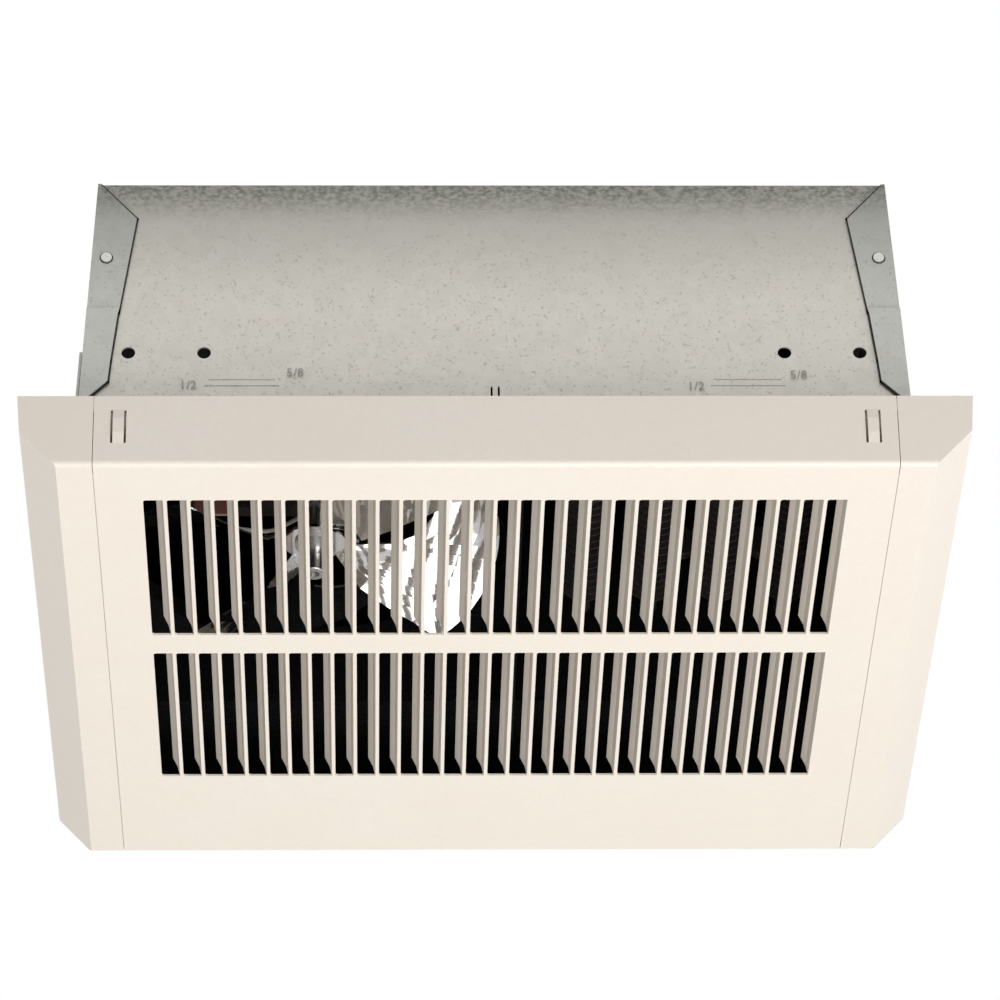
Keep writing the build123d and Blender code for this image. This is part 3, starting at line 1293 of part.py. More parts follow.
# Supply terminal block on the back of the partition, with its clamp screws
block_back = partition_back + BLOCK_DEPTH
first_way_x = BLOCK_X - (BLOCK_POLES - 1) / 2 * BLOCK_WAY
block_ways = [(first_way_x + BLOCK_WAY * pole, BLOCK_Z) for pole in range(BLOCK_POLES)]
with BuildPart() as terminal_block:
    with BuildSketch(Plane.XZ.offset(-partition_back)):
        with Locations((BLOCK_X, BLOCK_Z)):
            Rectangle(BLOCK_WIDTH, BLOCK_HEIGHT)
    extrude(amount=-BLOCK_DEPTH)
    with BuildSketch(Plane.XZ.offset(-block_back)):
        with Locations((BLOCK_X, BLOCK_Z)):
            with GridLocations(BLOCK_WAY, 1, BLOCK_POLES + 1, 1):
                Rectangle(BLOCK_WALL, BLOCK_HEIGHT)
    extrude(amount=-BLOCK_BARRIER)
    with BuildSketch(Plane.XZ.offset(-partition_back)):
        with Locations((BLOCK_X, BLOCK_Z)):
            with GridLocations(BLOCK_WIDTH - BLOCK_WAY, 1, 2, 1):
                Circle(SMALL_SCREW_RADIUS + SCREW_CLEARANCE)
        with Locations(block_ways):
            with GridLocations(1, BLOCK_WAY, 1, 2):
                Circle(SMALL_SCREW_RADIUS)
    extrude(amount=-BLOCK_DEPTH - BLOCK_BARRIER, mode=Mode.SUBTRACT)
terminal_block.part.label = "terminal_block"
export_step(terminal_block.part, "parts/terminal_block.step")

with BuildPart() as terminal_screws:
    with BuildSketch(Plane.XZ.offset(-block_back)):
        with Locations(block_ways):
            with GridLocations(1, BLOCK_WAY, 1, 2):
                Circle(SMALL_HEAD_RADIUS)
    extrude(amount=-SMALL_HEAD_HEIGHT)
    with BuildSketch(Plane.XZ.offset(-block_back)):
        with Locations(block_ways):
            with GridLocations(1, BLOCK_WAY, 1, 2):
                Circle(SMALL_SCREW_RADIUS)
    extrude(amount=BLOCK_DEPTH - SEAM_GAP)
terminal_screws.part.label = "terminal_screws"
export_step(terminal_screws.part, "parts/terminal_screws.step")

with BuildPart() as block_screws:
    with BuildSketch(Plane.XZ.offset(-block_back)):
        with Locations((BLOCK_X, BLOCK_Z)):
            with GridLocations(BLOCK_WIDTH - BLOCK_WAY, 1, 2, 1):
                Circle(SMALL_HEAD_RADIUS)
    extrude(amount=-SMALL_HEAD_HEIGHT)
    with BuildSketch(Plane.XZ.offset(-block_back)):
        with Locations((BLOCK_X, BLOCK_Z)):
            with GridLocations(BLOCK_WIDTH - BLOCK_WAY, 1, 2, 1):
                Circle(SMALL_SCREW_RADIUS)
    extrude(amount=block_back - PARTITION_Y + SCREW_TIP)
block_screws.part.label = "block_screws"
export_step(block_screws.part, "parts/block_screws.step")


# Ground screw in the top of the wiring compartment
with BuildPart() as ground_screw:
    under_top = BOX_HEIGHT - BOX_SHEET
    with BuildSketch(Plane.XY.offset(under_top)):
        with Locations((GROUND_X, GROUND_Y)):
            RegularPolygon(GROUND_HEAD, 6)
    extrude(amount=-SMALL_HEAD_HEIGHT * 2)
    with BuildSketch(Plane.XY.offset(under_top)):
        with Locations((GROUND_X, GROUND_Y)):
            Circle(GROUND_RADIUS)
    extrude(amount=BOX_SHEET)
ground_screw.part.label = "ground_screw"
export_step(ground_screw.part, "parts/ground_screw.step")


# Bushing that takes the motor leads through the partition
with BuildPart() as lead_bushing:
    with BuildSketch(Plane.XZ.offset(-(PARTITION_Y - BUSHING_COLLAR))):
        with Locations((BUSHING_X, BUSHING_Z)):
            Circle(BUSHING_FLANGE)
    extrude(amount=-BUSHING_COLLAR)
    with BuildSketch(Plane.XZ.offset(-PARTITION_Y)):
        with Locations((BUSHING_X, BUSHING_Z)):
            Circle(BUSHING_RADIUS)
    extrude(amount=-DECK_SHEET)
    with BuildSketch(Plane.XZ.offset(-partition_back)):
        with Locations((BUSHING_X, BUSHING_Z)):
            Circle(BUSHING_FLANGE)
    extrude(amount=-BUSHING_COLLAR)
    with BuildSketch(Plane.XZ.offset(-(PARTITION_Y - BUSHING_COLLAR))):
        for lead in (-1, 1):
            with Locations((BUSHING_X + lead * LEAD_SPREAD, BUSHING_Z)):
                Circle(LEAD_RADIUS + SEAT_GAP)
    extrude(amount=-3 * BUSHING_COLLAR, mode=Mode.SUBTRACT)
lead_bushing.part.label = "lead_bushing"
export_step(lead_bushing.part, "parts/lead_bushing.step")


def motor_lead(name, points, radii):
    """A motor lead along its held route; prints its radii."""
    print(name, "bend radii mm:", radii)
    with BuildPart() as lead:
        with BuildLine() as route:
            FilletPolyline(points, radius=radii)
        with BuildSketch(Plane(origin=route.line @ 0, z_dir=route.line % 0)):
            Circle(LEAD_RADIUS)
        sweep(path=route.line)
    return lead


lead_end_y = partition_back + BUSHING_COLLAR + LEAD_TAIL
white_points = [
    (-131.0, 0.9, 49.5),
    (-124.0, 4.8, 45.2),
    (-112.0, 8.6, 45.0),
    (-101.0, 10.2, 45.0),
    (-92.0, 3.0, 45.3),
    (-84.0, -4.2, 46.0),
    (-69.0, -3.6, 46.5),
    (-60.0, 12.0, 47.5),
    (-61.0, 46.0, 56.0),
    (BUSHING_X - LEAD_SPREAD, 78.0, BUSHING_Z),
    (BUSHING_X - LEAD_SPREAD, lead_end_y, BUSHING_Z),
]
white_motor_lead = motor_lead("white_motor_lead", white_points, [6, 14, 8, 10, 8, 10, 25, 30, 30])
white_motor_lead.part.label = "white_motor_lead"
export_step(white_motor_lead.part, "parts/white_motor_lead.step")

black_points = [
    (leg_centre_x, FAN_Y + leg_half_length + SEAT_GAP + LEAD_RADIUS, core_top + COIL_BUILD),
    (-112.0, 14.0, 78.0),
    (-88.0, 38.0, 74.0),
    (BUSHING_X + LEAD_SPREAD - 6, 60.0, 66.0),
    (BUSHING_X + LEAD_SPREAD, 80.0, BUSHING_Z),
    (BUSHING_X + LEAD_SPREAD, lead_end_y, BUSHING_Z),
]
black_motor_lead = motor_lead("black_motor_lead", black_points, [20, 30, 20, 20])
black_motor_lead.part.label = "black_motor_lead"
export_step(black_motor_lead.part, "parts/black_motor_lead.step")
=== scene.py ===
import math

import bpy
from bpy.props import FloatProperty, FloatVectorProperty, PointerProperty
from mathutils import Matrix, Vector


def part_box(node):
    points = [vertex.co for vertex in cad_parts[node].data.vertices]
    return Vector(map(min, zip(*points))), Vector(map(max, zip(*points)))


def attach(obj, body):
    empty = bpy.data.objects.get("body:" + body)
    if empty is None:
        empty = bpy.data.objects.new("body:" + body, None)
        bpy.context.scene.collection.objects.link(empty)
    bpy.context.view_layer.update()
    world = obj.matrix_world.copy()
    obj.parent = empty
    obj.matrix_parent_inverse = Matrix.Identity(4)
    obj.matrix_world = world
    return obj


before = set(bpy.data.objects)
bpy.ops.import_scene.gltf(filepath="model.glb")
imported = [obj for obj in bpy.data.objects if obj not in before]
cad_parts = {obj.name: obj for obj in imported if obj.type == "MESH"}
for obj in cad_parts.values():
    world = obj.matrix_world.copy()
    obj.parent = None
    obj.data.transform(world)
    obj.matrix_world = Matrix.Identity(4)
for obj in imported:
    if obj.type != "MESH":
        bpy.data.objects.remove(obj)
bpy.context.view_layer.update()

bl_info = {
    "name": "Recessed ceiling heater",
    "version": (1, 0, 0),
    "blender": (4, 5, 0),
    "location": "View3D > Sidebar > Ceiling heater",
    "description": "Finishes the pieces of a recessed ceiling heater and sets its studio",
    "category": "Object",
}

MM = 0.001
WARM_WHITE = (1, 0.985, 0.96)
SEAM_STAND_OFF = 0.04 * MM  # clear of the wall, so that the two faces don't mix
MARK_STAND_OFF = 0.02 * MM
RING_STAND_OFF = 0.05 * MM
LEVEL_EDGE = 0.2  # an edge that rises less than this share of its length counts as level
LAMINATION_PITCH = 0.6 * MM
TAPE_PITCH = 0.9 * MM


# Settings

class HeaterFinishes(bpy.types.PropertyGroup):
    """Colours and wear of the heater's materials."""
    trim_colour: FloatVectorProperty(
        name="Trim paint", description="Baked enamel of the grille and end caps",
        subtype="COLOR", size=3, min=0, max=1, default=(0.85, 0.79, 0.715))
    zinc_colour: FloatVectorProperty(
        name="Galvanised sheet", description="Colour of the zinc-coated box",
        subtype="COLOR", size=3, min=0, max=1, default=(0.67, 0.645, 0.59))
    end_zinc_colour: FloatVectorProperty(
        name="End panel sheet", description="Colour of the duller sheet of the two end panels",
        subtype="COLOR", size=3, min=0, max=1, default=(0.54, 0.545, 0.505))
    # Near-black painted shade for the sheets inside the box, standing in for the dark there.
    inner_shade_colour: FloatVectorProperty(
        name="Inner shade black", description="Matt black of the sheets inside the box",
        subtype="COLOR", size=3, min=0, max=1, default=(0.004, 0.004, 0.005))
    winding_colour: FloatVectorProperty(
        name="Coil varnish", description="Varnish over the motor coil",
        subtype="COLOR", size=3, min=0, max=1, default=(0.20, 0.055, 0.04))
    spangle_size: FloatProperty(
        name="Zinc crystal size", description="Width of one zinc crystal",
        subtype="DISTANCE", unit="LENGTH", min=0.001, default=0.005)
    dust_amount: FloatProperty(
        name="Dust", description="Share of a level surface that dust covers",
        subtype="FACTOR", min=0, max=1, default=0.22)


class HeaterMarks(bpy.types.PropertyGroup):
    """Stamped figures, and painted shadow lines along the tab seams and round the clinched buttons, on the
    box walls.
    """
    figure_height: FloatProperty(
        name="Figure size", description="Letter size of the stamped figures",
        subtype="DISTANCE", unit="LENGTH", default=6.0 * MM)
    # The seam line is painted shadow in the gap behind a folded tab's edge.
    seam_width: FloatProperty(
        name="Seam width", description="Width of the dark line behind a folded tab's edge",
        subtype="DISTANCE", unit="LENGTH", default=1.5 * MM)
    # The ring is painted shadow round a clinched button.
    ring_width: FloatProperty(
        name="Ring width", description="Width of the dark ring round a clinched button",
        subtype="DISTANCE", unit="LENGTH", default=0.6 * MM)
    button_proud: FloatProperty(
        name="Button height", description="How far a clinched button stands out of its tab",
        subtype="DISTANCE", unit="LENGTH", default=0.8 * MM)
    tab_reach: FloatProperty(
        name="Tab reach", description="How far a folded tab reaches in from the box's corner",
        subtype="DISTANCE", unit="LENGTH", default=18 * MM)


class HeaterStudio(bpy.types.PropertyGroup):
    """Camera and lamps."""
    camera_place: FloatVectorProperty(
        name="Camera place", description="Where the camera stands, below and in front of the grille",
        subtype="XYZ", unit="LENGTH", size=3, default=(-0.0551, -2.1458, -1.2531))
    camera_lens: FloatProperty(
        name="Lens", description="Focal length on a 36 mm wide frame",
        subtype="DISTANCE_CAMERA", min=20, max=600, default=194.43)
    camera_pitch: FloatProperty(
        name="Pitch", description="How far the camera looks up",
        subtype="ANGLE", unit="ROTATION", default=math.radians(31.374))
    camera_yaw: FloatProperty(
        name="Yaw", description="How far the camera is turned to the right",
        subtype="ANGLE", unit="ROTATION", default=math.radians(1.633))
    camera_roll: FloatProperty(
        name="Roll", description="How far the camera leans to its left",
        subtype="ANGLE", unit="ROTATION", default=math.radians(-0.905))
    floor_drop: FloatProperty(
        name="Floor", description="Depth of the floor under the ceiling plane",
        subtype="DISTANCE", unit="LENGTH", default=2.3)
    sky_level: FloatProperty(
        name="Surrounding light", description="Level of the even light from all sides",
        min=0, max=2, default=0.50)
    key_power: FloatProperty(
        name="Main lamp", description="Power of the soft lamp under the grille",
        subtype="POWER", unit="POWER", min=0, default=30)
    floor_power: FloatProperty(
        name="Floor lamp", description="Power of the soft lamp below the fan, which its blades reflect",
        subtype="POWER", unit="POWER", min=0, default=4)
    fill_power: FloatProperty(
        name="Side lamp", description="Power of the soft lamp on the right",
        subtype="POWER", unit="POWER", min=0, default=9)


# Shader building blocks

def new_group(name, inputs, outputs):
    """A shader node group with its sockets; inputs and outputs are (name, kind, default)."""
    group = bpy.data.node_groups.new(name, "ShaderNodeTree")
    for label, kind, value in inputs:
        socket = group.interface.new_socket(label, in_out="INPUT", socket_type=kind)
        socket.default_value = value
    for label, kind in outputs:
        group.interface.new_socket(label, in_out="OUTPUT", socket_type=kind)
    return group


def add_node(tree, kind, **settings):
    """A node with its settings; keys that name an input set that input."""
    node = tree.nodes.new(kind)
    for key, value in settings.items():
        if key in node.inputs:
            node.inputs[key].default_value = value
        else:
            setattr(node, key, value)
    return node


def link(tree, source, target):
    """Joins an output socket to an input socket."""
    tree.links.new(source, target)


def ramp(tree, source, low, high, low_value=0.0, high_value=1.0):
    """source between low and high, moved to run from low_value to high_value."""
    node = add_node(tree, "ShaderNodeMapRange")
    node.interpolation_type = "SMOOTHSTEP"
    for socket, value in zip(node.inputs[1:5], (low, high, low_value, high_value)):
        socket.default_value = value
    link(tree, source, node.inputs[0])
    return node.outputs[0]


def mix_colours(tree, factor, first, second):
    """Mixes two colours by a factor; first and second are each a socket or a colour."""
    node = add_node(tree, "ShaderNodeMix", data_type="RGBA")
    sockets = [s for s in node.inputs if s.type == "RGBA"]
    link(tree, factor, node.inputs[0])
    for socket, value in zip(sockets, (first, second)):
        if hasattr(value, "is_output"):
            link(tree, value, socket)
        else:
            socket.default_value = (*value[:3], 1)
    return [s for s in node.outputs if s.type == "RGBA"][0]


def shaded(colour, *shares):
    """A colour scaled by one share, or by one share for each channel."""
    return tuple(c * share for c, share in zip(colour, shares if len(shares) > 1 else shares * 3))


def math_node(tree, operation, first, second=0.0):
    """The result of one sum; first and second are each a socket or a number."""
    node = add_node(tree, "ShaderNodeMath", operation=operation)
    for socket, value in zip(node.inputs, (first, second)):
        if hasattr(value, "is_output"):
            link(tree, value, socket)
        else:
            socket.default_value = value
    return node.outputs[0]


def surface_grain_group():
    """Fine mottling in object space: a mask, and a height for a bump."""
    group = new_group(
        "Surface grain",
        [("Scale", "NodeSocketFloat", 900.0), ("Stretch", "NodeSocketVector", (1, 1, 1))],
        [("Mask", "NodeSocketFloat"), ("Height", "NodeSocketFloat")])
    start = add_node(group, "NodeGroupInput")
    end = add_node(group, "NodeGroupOutput")
    place = add_node(group, "ShaderNodeTexCoord")
    stretch = add_node(group, "ShaderNodeVectorMath", operation="MULTIPLY")
    fine = add_node(group, "ShaderNodeTexNoise", Detail=4.0, Roughness=0.62)
    link(group, place.outputs["Object"], stretch.inputs[0])
    link(group, start.outputs["Stretch"], stretch.inputs[1])
    link(group, stretch.outputs[0], fine.inputs["Vector"])
    link(group, start.outputs["Scale"], fine.inputs["Scale"])
    link(group, ramp(group, fine.outputs[0], 0.35, 0.68), end.inputs["Mask"])
    link(group, fine.outputs[0], end.inputs["Height"])
    return group


def zinc_spangle_group():
    """Flat zinc crystals, each with its own shade, and dark specks between them."""
    group = new_group(
        "Zinc spangle",
        [("Crystals per metre", "NodeSocketFloat", 130.0), ("Specks per metre", "NodeSocketFloat", 700.0)],
        [("Shade", "NodeSocketFloat"), ("Specks", "NodeSocketFloat"), ("Height", "NodeSocketFloat")])
    start = add_node(group, "NodeGroupInput")
    end = add_node(group, "NodeGroupOutput")
    place = add_node(group, "ShaderNodeTexCoord")
    warp = add_node(group, "ShaderNodeTexNoise", Scale=60.0, Detail=3.0)
    bend = add_node(group, "ShaderNodeVectorMath", operation="MULTIPLY_ADD")
    bend.inputs[1].default_value = (0.006, 0.006, 0.006)
    crystal = add_node(group, "ShaderNodeTexVoronoi", feature="F1")
    speck = add_node(group, "ShaderNodeTexNoise", Detail=2.0, Roughness=0.5)
    link(group, place.outputs["Object"], warp.inputs["Vector"])
    link(group, warp.outputs["Color"], bend.inputs[0])
    link(group, place.outputs["Object"], bend.inputs[2])
    link(group, bend.outputs[0], crystal.inputs["Vector"])
    link(group, start.outputs["Crystals per metre"], crystal.inputs["Scale"])
    split = add_node(group, "ShaderNodeSeparateColor")
    link(group, crystal.outputs["Color"], split.inputs[0])
    link(group, split.outputs[0], end.inputs["Shade"])
    link(group, place.outputs["Object"], speck.inputs["Vector"])
    link(group, start.outputs["Specks per metre"], speck.inputs["Scale"])
    link(group, ramp(group, speck.outputs[0], 0.60, 0.72), end.inputs["Specks"])
    link(group, math_node(group, "ADD", split.outputs[1], speck.outputs[0]), end.inputs["Height"])
    return group


def settled_dust_group():
    """Dust that lies where a surface faces up, broken by noise."""
    group = new_group(
        "Settled dust",
        [("Amount", "NodeSocketFloat", 0.3), ("Scale", "NodeSocketFloat", 90.0)],
        [("Mask", "NodeSocketFloat")])
    start = add_node(group, "NodeGroupInput")
    end = add_node(group, "NodeGroupOutput")
    place = add_node(group, "ShaderNodeTexCoord")
    facing = add_node(group, "ShaderNodeSeparateXYZ")
    patches = add_node(group, "ShaderNodeTexNoise", Detail=6.0, Roughness=0.7)
    link(group, place.outputs["Normal"], facing.inputs[0])
    link(group, place.outputs["Object"], patches.inputs["Vector"])
    link(group, start.outputs["Scale"], patches.inputs["Scale"])
    level = ramp(group, facing.outputs[2], 0.3, 0.95, 0.25, 1.0)
    cover = math_node(group, "MULTIPLY", level, ramp(group, patches.outputs[0], 0.3, 0.75))
    link(group, math_node(group, "MULTIPLY", cover, start.outputs["Amount"]), end.inputs["Mask"])
    return group


def place_group(tree, group_name, **values):
    """A shared group in a tree; each value sets the input of that name, with _ for a space."""
    node = tree.nodes.new("ShaderNodeGroup")
    node.node_tree = bpy.data.node_groups[group_name]
    for key, value in values.items():
        node.inputs[key.replace("_", " ")].default_value = value
    return node


def new_material(name, metallic, roughness, **sockets):
    """A material with one Principled surface; returns the material, its tree and the surface."""
    material = bpy.data.materials.new(name)
    material.use_nodes = True
    tree = material.node_tree
    surface = tree.nodes["Principled BSDF"]
    surface.inputs["Metallic"].default_value = metallic
    surface.inputs["Roughness"].default_value = roughness
    for key, value in sockets.items():
        surface.inputs[key.replace("_", " ")].default_value = value
    return material, tree, surface


def bump(tree, surface, height, distance, strength=0.3):
    """Roughens the surface's normal by a height."""
    node = add_node(tree, "ShaderNodeBump", Strength=strength, Distance=distance)
    link(tree, height, node.inputs["Height"])
    link(tree, node.outputs[0], surface.inputs["Normal"])


def grained_material(name, colour, metallic, roughness, scale=900.0, tint=0.8, stretch=(1, 1, 1),
                     depth=0.0001, dust=0.0, **sockets):
    """A finish whose colour and roughness vary with a fine grain, with dust where it is asked for."""
    material, tree, surface = new_material(name, metallic, roughness, **sockets)
    grain = place_group(tree, "Surface grain", Scale=scale, Stretch=stretch)
    shade = mix_colours(tree, grain.outputs["Mask"], colour, shaded(colour, tint))
    if dust:
        film = place_group(tree, "Settled dust", Amount=dust)
        shade = mix_colours(tree, film.outputs["Mask"], shade, (0.42, 0.40, 0.37))
    link(tree, shade, surface.inputs["Base Color"])
    rough = ramp(tree, grain.outputs["Mask"], 0, 1, roughness * 0.9, min(1, roughness * 1.15))
    link(tree, rough, surface.inputs["Roughness"])
    bump(tree, surface, grain.outputs["Height"], depth)
    return material


def galvanised_material(name, colour, settings):
    """Zinc-coated sheet: soft crystals, dark specks, painted shade that darkens the upright walls towards the
    top, and a painted dark shade line along the top bend.
    """
    material, tree, surface = new_material(name, 0.5, 0.45, Specular_IOR_Level=0.4)
    zinc = place_group(
        tree, "Zinc spangle", Crystals_per_metre=1 / settings.spangle_size, Specks_per_metre=720.0)
    shade = mix_colours(
        tree, ramp(tree, zinc.outputs["Shade"], 0.1, 0.9, 0, 0.4), colour, shaded(colour, 0.93))
    cloud = place_group(tree, "Surface grain", Scale=30.0)
    shade = mix_colours(
        tree, math_node(tree, "MULTIPLY", cloud.outputs["Mask"], 0.3), shade,
        shaded(colour, 0.90, 0.94, 0.95))
    shade = mix_colours(
        tree, math_node(tree, "MULTIPLY", zinc.outputs["Specks"], 0.42), shade, (0.22, 0.22, 0.20))
    place = add_node(tree, "ShaderNodeTexCoord")
    height = add_node(tree, "ShaderNodeSeparateXYZ")
    link(tree, place.outputs["Object"], height.inputs[0])
    # Painted shade: the upright walls grow darker towards the top, and a broken dark line runs along the top
    # bend.
    top_bend_breakup = place_group(tree, "Surface grain", Scale=420.0, Stretch=(1, 1, 1.4))
    facing = add_node(tree, "ShaderNodeSeparateXYZ")
    link(tree, place.outputs["Normal"], facing.inputs[0])
    upright = ramp(tree, facing.outputs[2], 0.5, 0.95, 1, 0.12)
    top_shade = math_node(tree, "MULTIPLY", ramp(tree, height.outputs[2], 0.050, 0.112, 0, 0.7), upright)
    shade = mix_colours(tree, top_shade, shade, shaded(colour, 0.55))
    top_bend_shade = math_node(tree, "MULTIPLY", ramp(tree, height.outputs[2], 0.096, 0.119), upright)
    broken = math_node(tree, "ADD", math_node(tree, "MULTIPLY", top_bend_breakup.outputs["Mask"], 0.6), 0.4)
    shade = mix_colours(tree, math_node(tree, "MULTIPLY", top_bend_shade, broken), shade, (0.13, 0.14, 0.12))
    film = place_group(tree, "Settled dust", Amount=settings.dust_amount)
    shade = mix_colours(tree, film.outputs["Mask"], shade, (0.45, 0.43, 0.39))
    link(tree, shade, surface.inputs["Base Color"])
    link(tree, ramp(tree, zinc.outputs["Shade"], 0, 1, 0.40, 0.52), surface.inputs["Roughness"])
    bump(tree, surface, zinc.outputs["Height"], 0.00005, 0.2)
    return material


def trim_paint_material(settings):
    """Baked off-white enamel with a light orange peel."""
    material, tree, surface = new_material(
        "Trim enamel", 0.0, 0.42, Coat_Weight=0.12, Coat_Roughness=0.35)
    grain = place_group(tree, "Surface grain", Scale=420.0)
    cloud = place_group(tree, "Surface grain", Scale=14.0)
    colour = tuple(settings.trim_colour)
    shade = mix_colours(tree, grain.outputs["Mask"], colour, shaded(colour, 0.975))
    shade = mix_colours(
        tree, math_node(tree, "MULTIPLY", cloud.outputs["Mask"], 0.35), shade,
        shaded(colour, 0.985, 0.955, 0.93))
    film = place_group(tree, "Settled dust", Amount=settings.dust_amount * 0.5)
    shade = mix_colours(tree, film.outputs["Mask"], shade, (0.45, 0.42, 0.38))
    link(tree, shade, surface.inputs["Base Color"])
    bump(tree, surface, grain.outputs["Height"], 0.00008, 0.18)
    return material


def polished_blade_material():
    """Mirror-bright rolled aluminium with faint rolling lines and a little dust."""
    material, tree, surface = new_material("Bright aluminium", 1.0, 0.06)
    grain = place_group(tree, "Surface grain", Scale=220.0, Stretch=(1, 10, 1))
    shade = mix_colours(tree, grain.outputs["Mask"], (0.95, 0.95, 0.955), (0.88, 0.88, 0.885))
    film = place_group(tree, "Settled dust", Amount=0.10, Scale=40.0)
    shade = mix_colours(tree, film.outputs["Mask"], shade, (0.4, 0.38, 0.35))
    link(tree, shade, surface.inputs["Base Color"])
    link(tree, ramp(tree, grain.outputs["Mask"], 0, 1, 0.05, 0.09), surface.inputs["Roughness"])
    return material


def lamination_material():
    """Edges of stacked sheet: dark lines across the height, with a light film of rust."""
    material, tree, surface = new_material("Stacked laminations", 0.3, 0.6)
    place = add_node(tree, "ShaderNodeTexCoord")
    height = add_node(tree, "ShaderNodeSeparateXYZ")
    link(tree, place.outputs["Object"], height.inputs[0])
    sheets = math_node(tree, "MULTIPLY", height.outputs[2], 1 / LAMINATION_PITCH)
    line = ramp(tree, math_node(tree, "FRACT", sheets), 0.0, 0.25)
    rust = place_group(tree, "Surface grain", Scale=150.0)
    shade = mix_colours(tree, line, (0.008, 0.008, 0.008), (0.035, 0.035, 0.038))
    film = math_node(tree, "MULTIPLY", rust.outputs["Mask"], 0.25)
    shade = mix_colours(tree, film, shade, (0.16, 0.08, 0.04))
    link(tree, shade, surface.inputs["Base Color"])
    bump(tree, surface, line, 0.0002, 0.4)
    return material


def winding_material(settings):
    """Varnished cloth tape over the coil: narrow turns with a soft sheen."""
    material, tree, surface = new_material("Varnished coil tape", 0.0, 0.38, Coat_Weight=0.3)
    place = add_node(tree, "ShaderNodeTexCoord")
    along = add_node(tree, "ShaderNodeSeparateXYZ")
    link(tree, place.outputs["Object"], along.inputs[0])
    turns = math_node(tree, "FRACT", math_node(tree, "MULTIPLY", along.outputs[1], 1 / TAPE_PITCH))
    wire = ramp(tree, turns, 0.0, 0.5)
    colour = tuple(settings.winding_colour)
    shade = mix_colours(tree, wire, shaded(colour, 0.55), colour)
    grain = place_group(tree, "Surface grain", Scale=300.0)
    shade = mix_colours(tree, math_node(tree, "MULTIPLY", grain.outputs["Mask"], 0.4), shade,
                        shaded(colour, 0.6))
    link(tree, shade, surface.inputs["Base Color"])
    bump(tree, surface, wire, 0.0003, 0.5)
    return material


def dress(material, *nodes):
    """Gives CAD nodes a material."""
    for name in nodes:
        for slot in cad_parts[name].material_slots:
            slot.material = material


# Pieces and finishes

class HEATER_OT_shader_groups(bpy.types.Operator):
    """Builds the shared shader groups."""
    bl_idname = "heater.shader_groups"
    bl_label = "Shader groups"

    def execute(self, context):
        surface_grain_group()
        zinc_spangle_group()
        settled_dust_group()
        return {"FINISHED"}


class HEATER_OT_back_box(bpy.types.Operator):
    """Finishes the galvanised box, its end panels, buttons and spacer."""
    bl_idname = "heater.back_box"
    bl_label = "Back box"

    def execute(self, context):
        finishes = context.scene.heater_finishes
        dress(galvanised_material("Galvanised sheet", tuple(finishes.zinc_colour), finishes), "housing_wrap")
        dress(galvanised_material("Galvanised ends", tuple(finishes.end_zinc_colour), finishes),
              "left_end_panel", "right_end_panel", "joist_spacer")
        button = grained_material("Clinched zinc", (0.74, 0.74, 0.69), 0.6, 0.4, scale=1200.0, dust=0.1)
        dress(button, "clinch_buttons")
        return {"FINISHED"}


def wall_piece(mesh, material):
    """Hangs a flat mesh on the box as a piece with the mesh's own name."""
    mesh.materials.clear()
    mesh.materials.append(material)
    piece = bpy.data.objects.new(mesh.name, mesh)
    bpy.context.scene.collection.objects.link(piece)
    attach(piece, "box")


def front_outline(node, side, wall_y):
    """Edges round the faces of a node that stand out of a wall; side is -1 near and 1 far."""
    least_out = 0.2 * MM
    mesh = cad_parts[node].data
    count = {}
    for face in mesh.polygons:
        if face.normal.y * side > 0.9 and (face.center.y - wall_y) * side > least_out:
            for key in face.edge_keys:
                count[key] = count.get(key, 0) + 1
    lone = [key for key, times in count.items() if times == 1]
    return [(mesh.vertices[a].co.copy(), mesh.vertices[b].co.copy()) for a, b in lone]


def seam_shadow_lines(name, node, side, marks, material):
    """Painted shadow in the seam round a folded tab, as flat dark strips on the wall behind it."""
    low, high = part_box("housing_wrap")
    tab_low, tab_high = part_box(node)
    wall_y = low.y if side < 0 else high.y
    centre_x = (low.x + high.x) / 2
    inner_x = min(abs(tab_low.x - centre_x), abs(tab_high.x - centre_x)) + marks.tab_reach
    foot_z, head_z, corner_z = 3 * MM, high.z - 2 * MM, high.z - 1 * MM
    width, shortest = marks.seam_width, 0.01 * MM
    corners, faces = [], []
    for start, end in front_outline(node, side, wall_y):
        middle = (start + end) / 2
        inside = abs(middle.x - centre_x) < inner_x and foot_z < middle.z < head_z
        if not inside or (end - start).length < shortest:
            continue
        along = (end - start).normalized()
        if abs(along.z) < LEVEL_EDGE:
            continue
        across = Vector((along.z, 0, -along.x)) * width / 2
        before = -width if start.z > corner_z else width / 2
        after = -width if end.z > corner_z else width / 2
        first = len(corners)
        for place in (start - along * before, end + along * after):
            for shift in (across, -across):
                corner = place + shift
                corners.append((corner.x, wall_y + side * SEAM_STAND_OFF, corner.z))
        faces.append((first, first + 1, first + 3, first + 2))
    mesh = bpy.data.meshes.new(name)
    mesh.from_pydata(corners, [], faces)
    wall_piece(mesh, material)


def stamped_mark(name, words, centre, size, material):
    """A stamped figure on the near wall, pressed flat against it."""
    curve = bpy.data.curves.new(name, "FONT")
    curve.body = words
    curve.size = size
    curve.align_x = "CENTER"
    curve.align_y = "CENTER"
    curve.resolution_u = 2
    writer = bpy.data.objects.new(name + "_text", curve)
    bpy.context.scene.collection.objects.link(writer)
    bpy.context.view_layer.update()
    drawn = writer.evaluated_get(bpy.context.evaluated_depsgraph_get())
    mesh = bpy.data.meshes.new_from_object(drawn)
    bpy.data.objects.remove(writer)
    mesh.name = name
    stand = Matrix.Rotation(math.radians(90), 4, "X")
    mesh.transform(Matrix.Translation(Vector(centre)) @ stand)
    wall_piece(mesh, material)


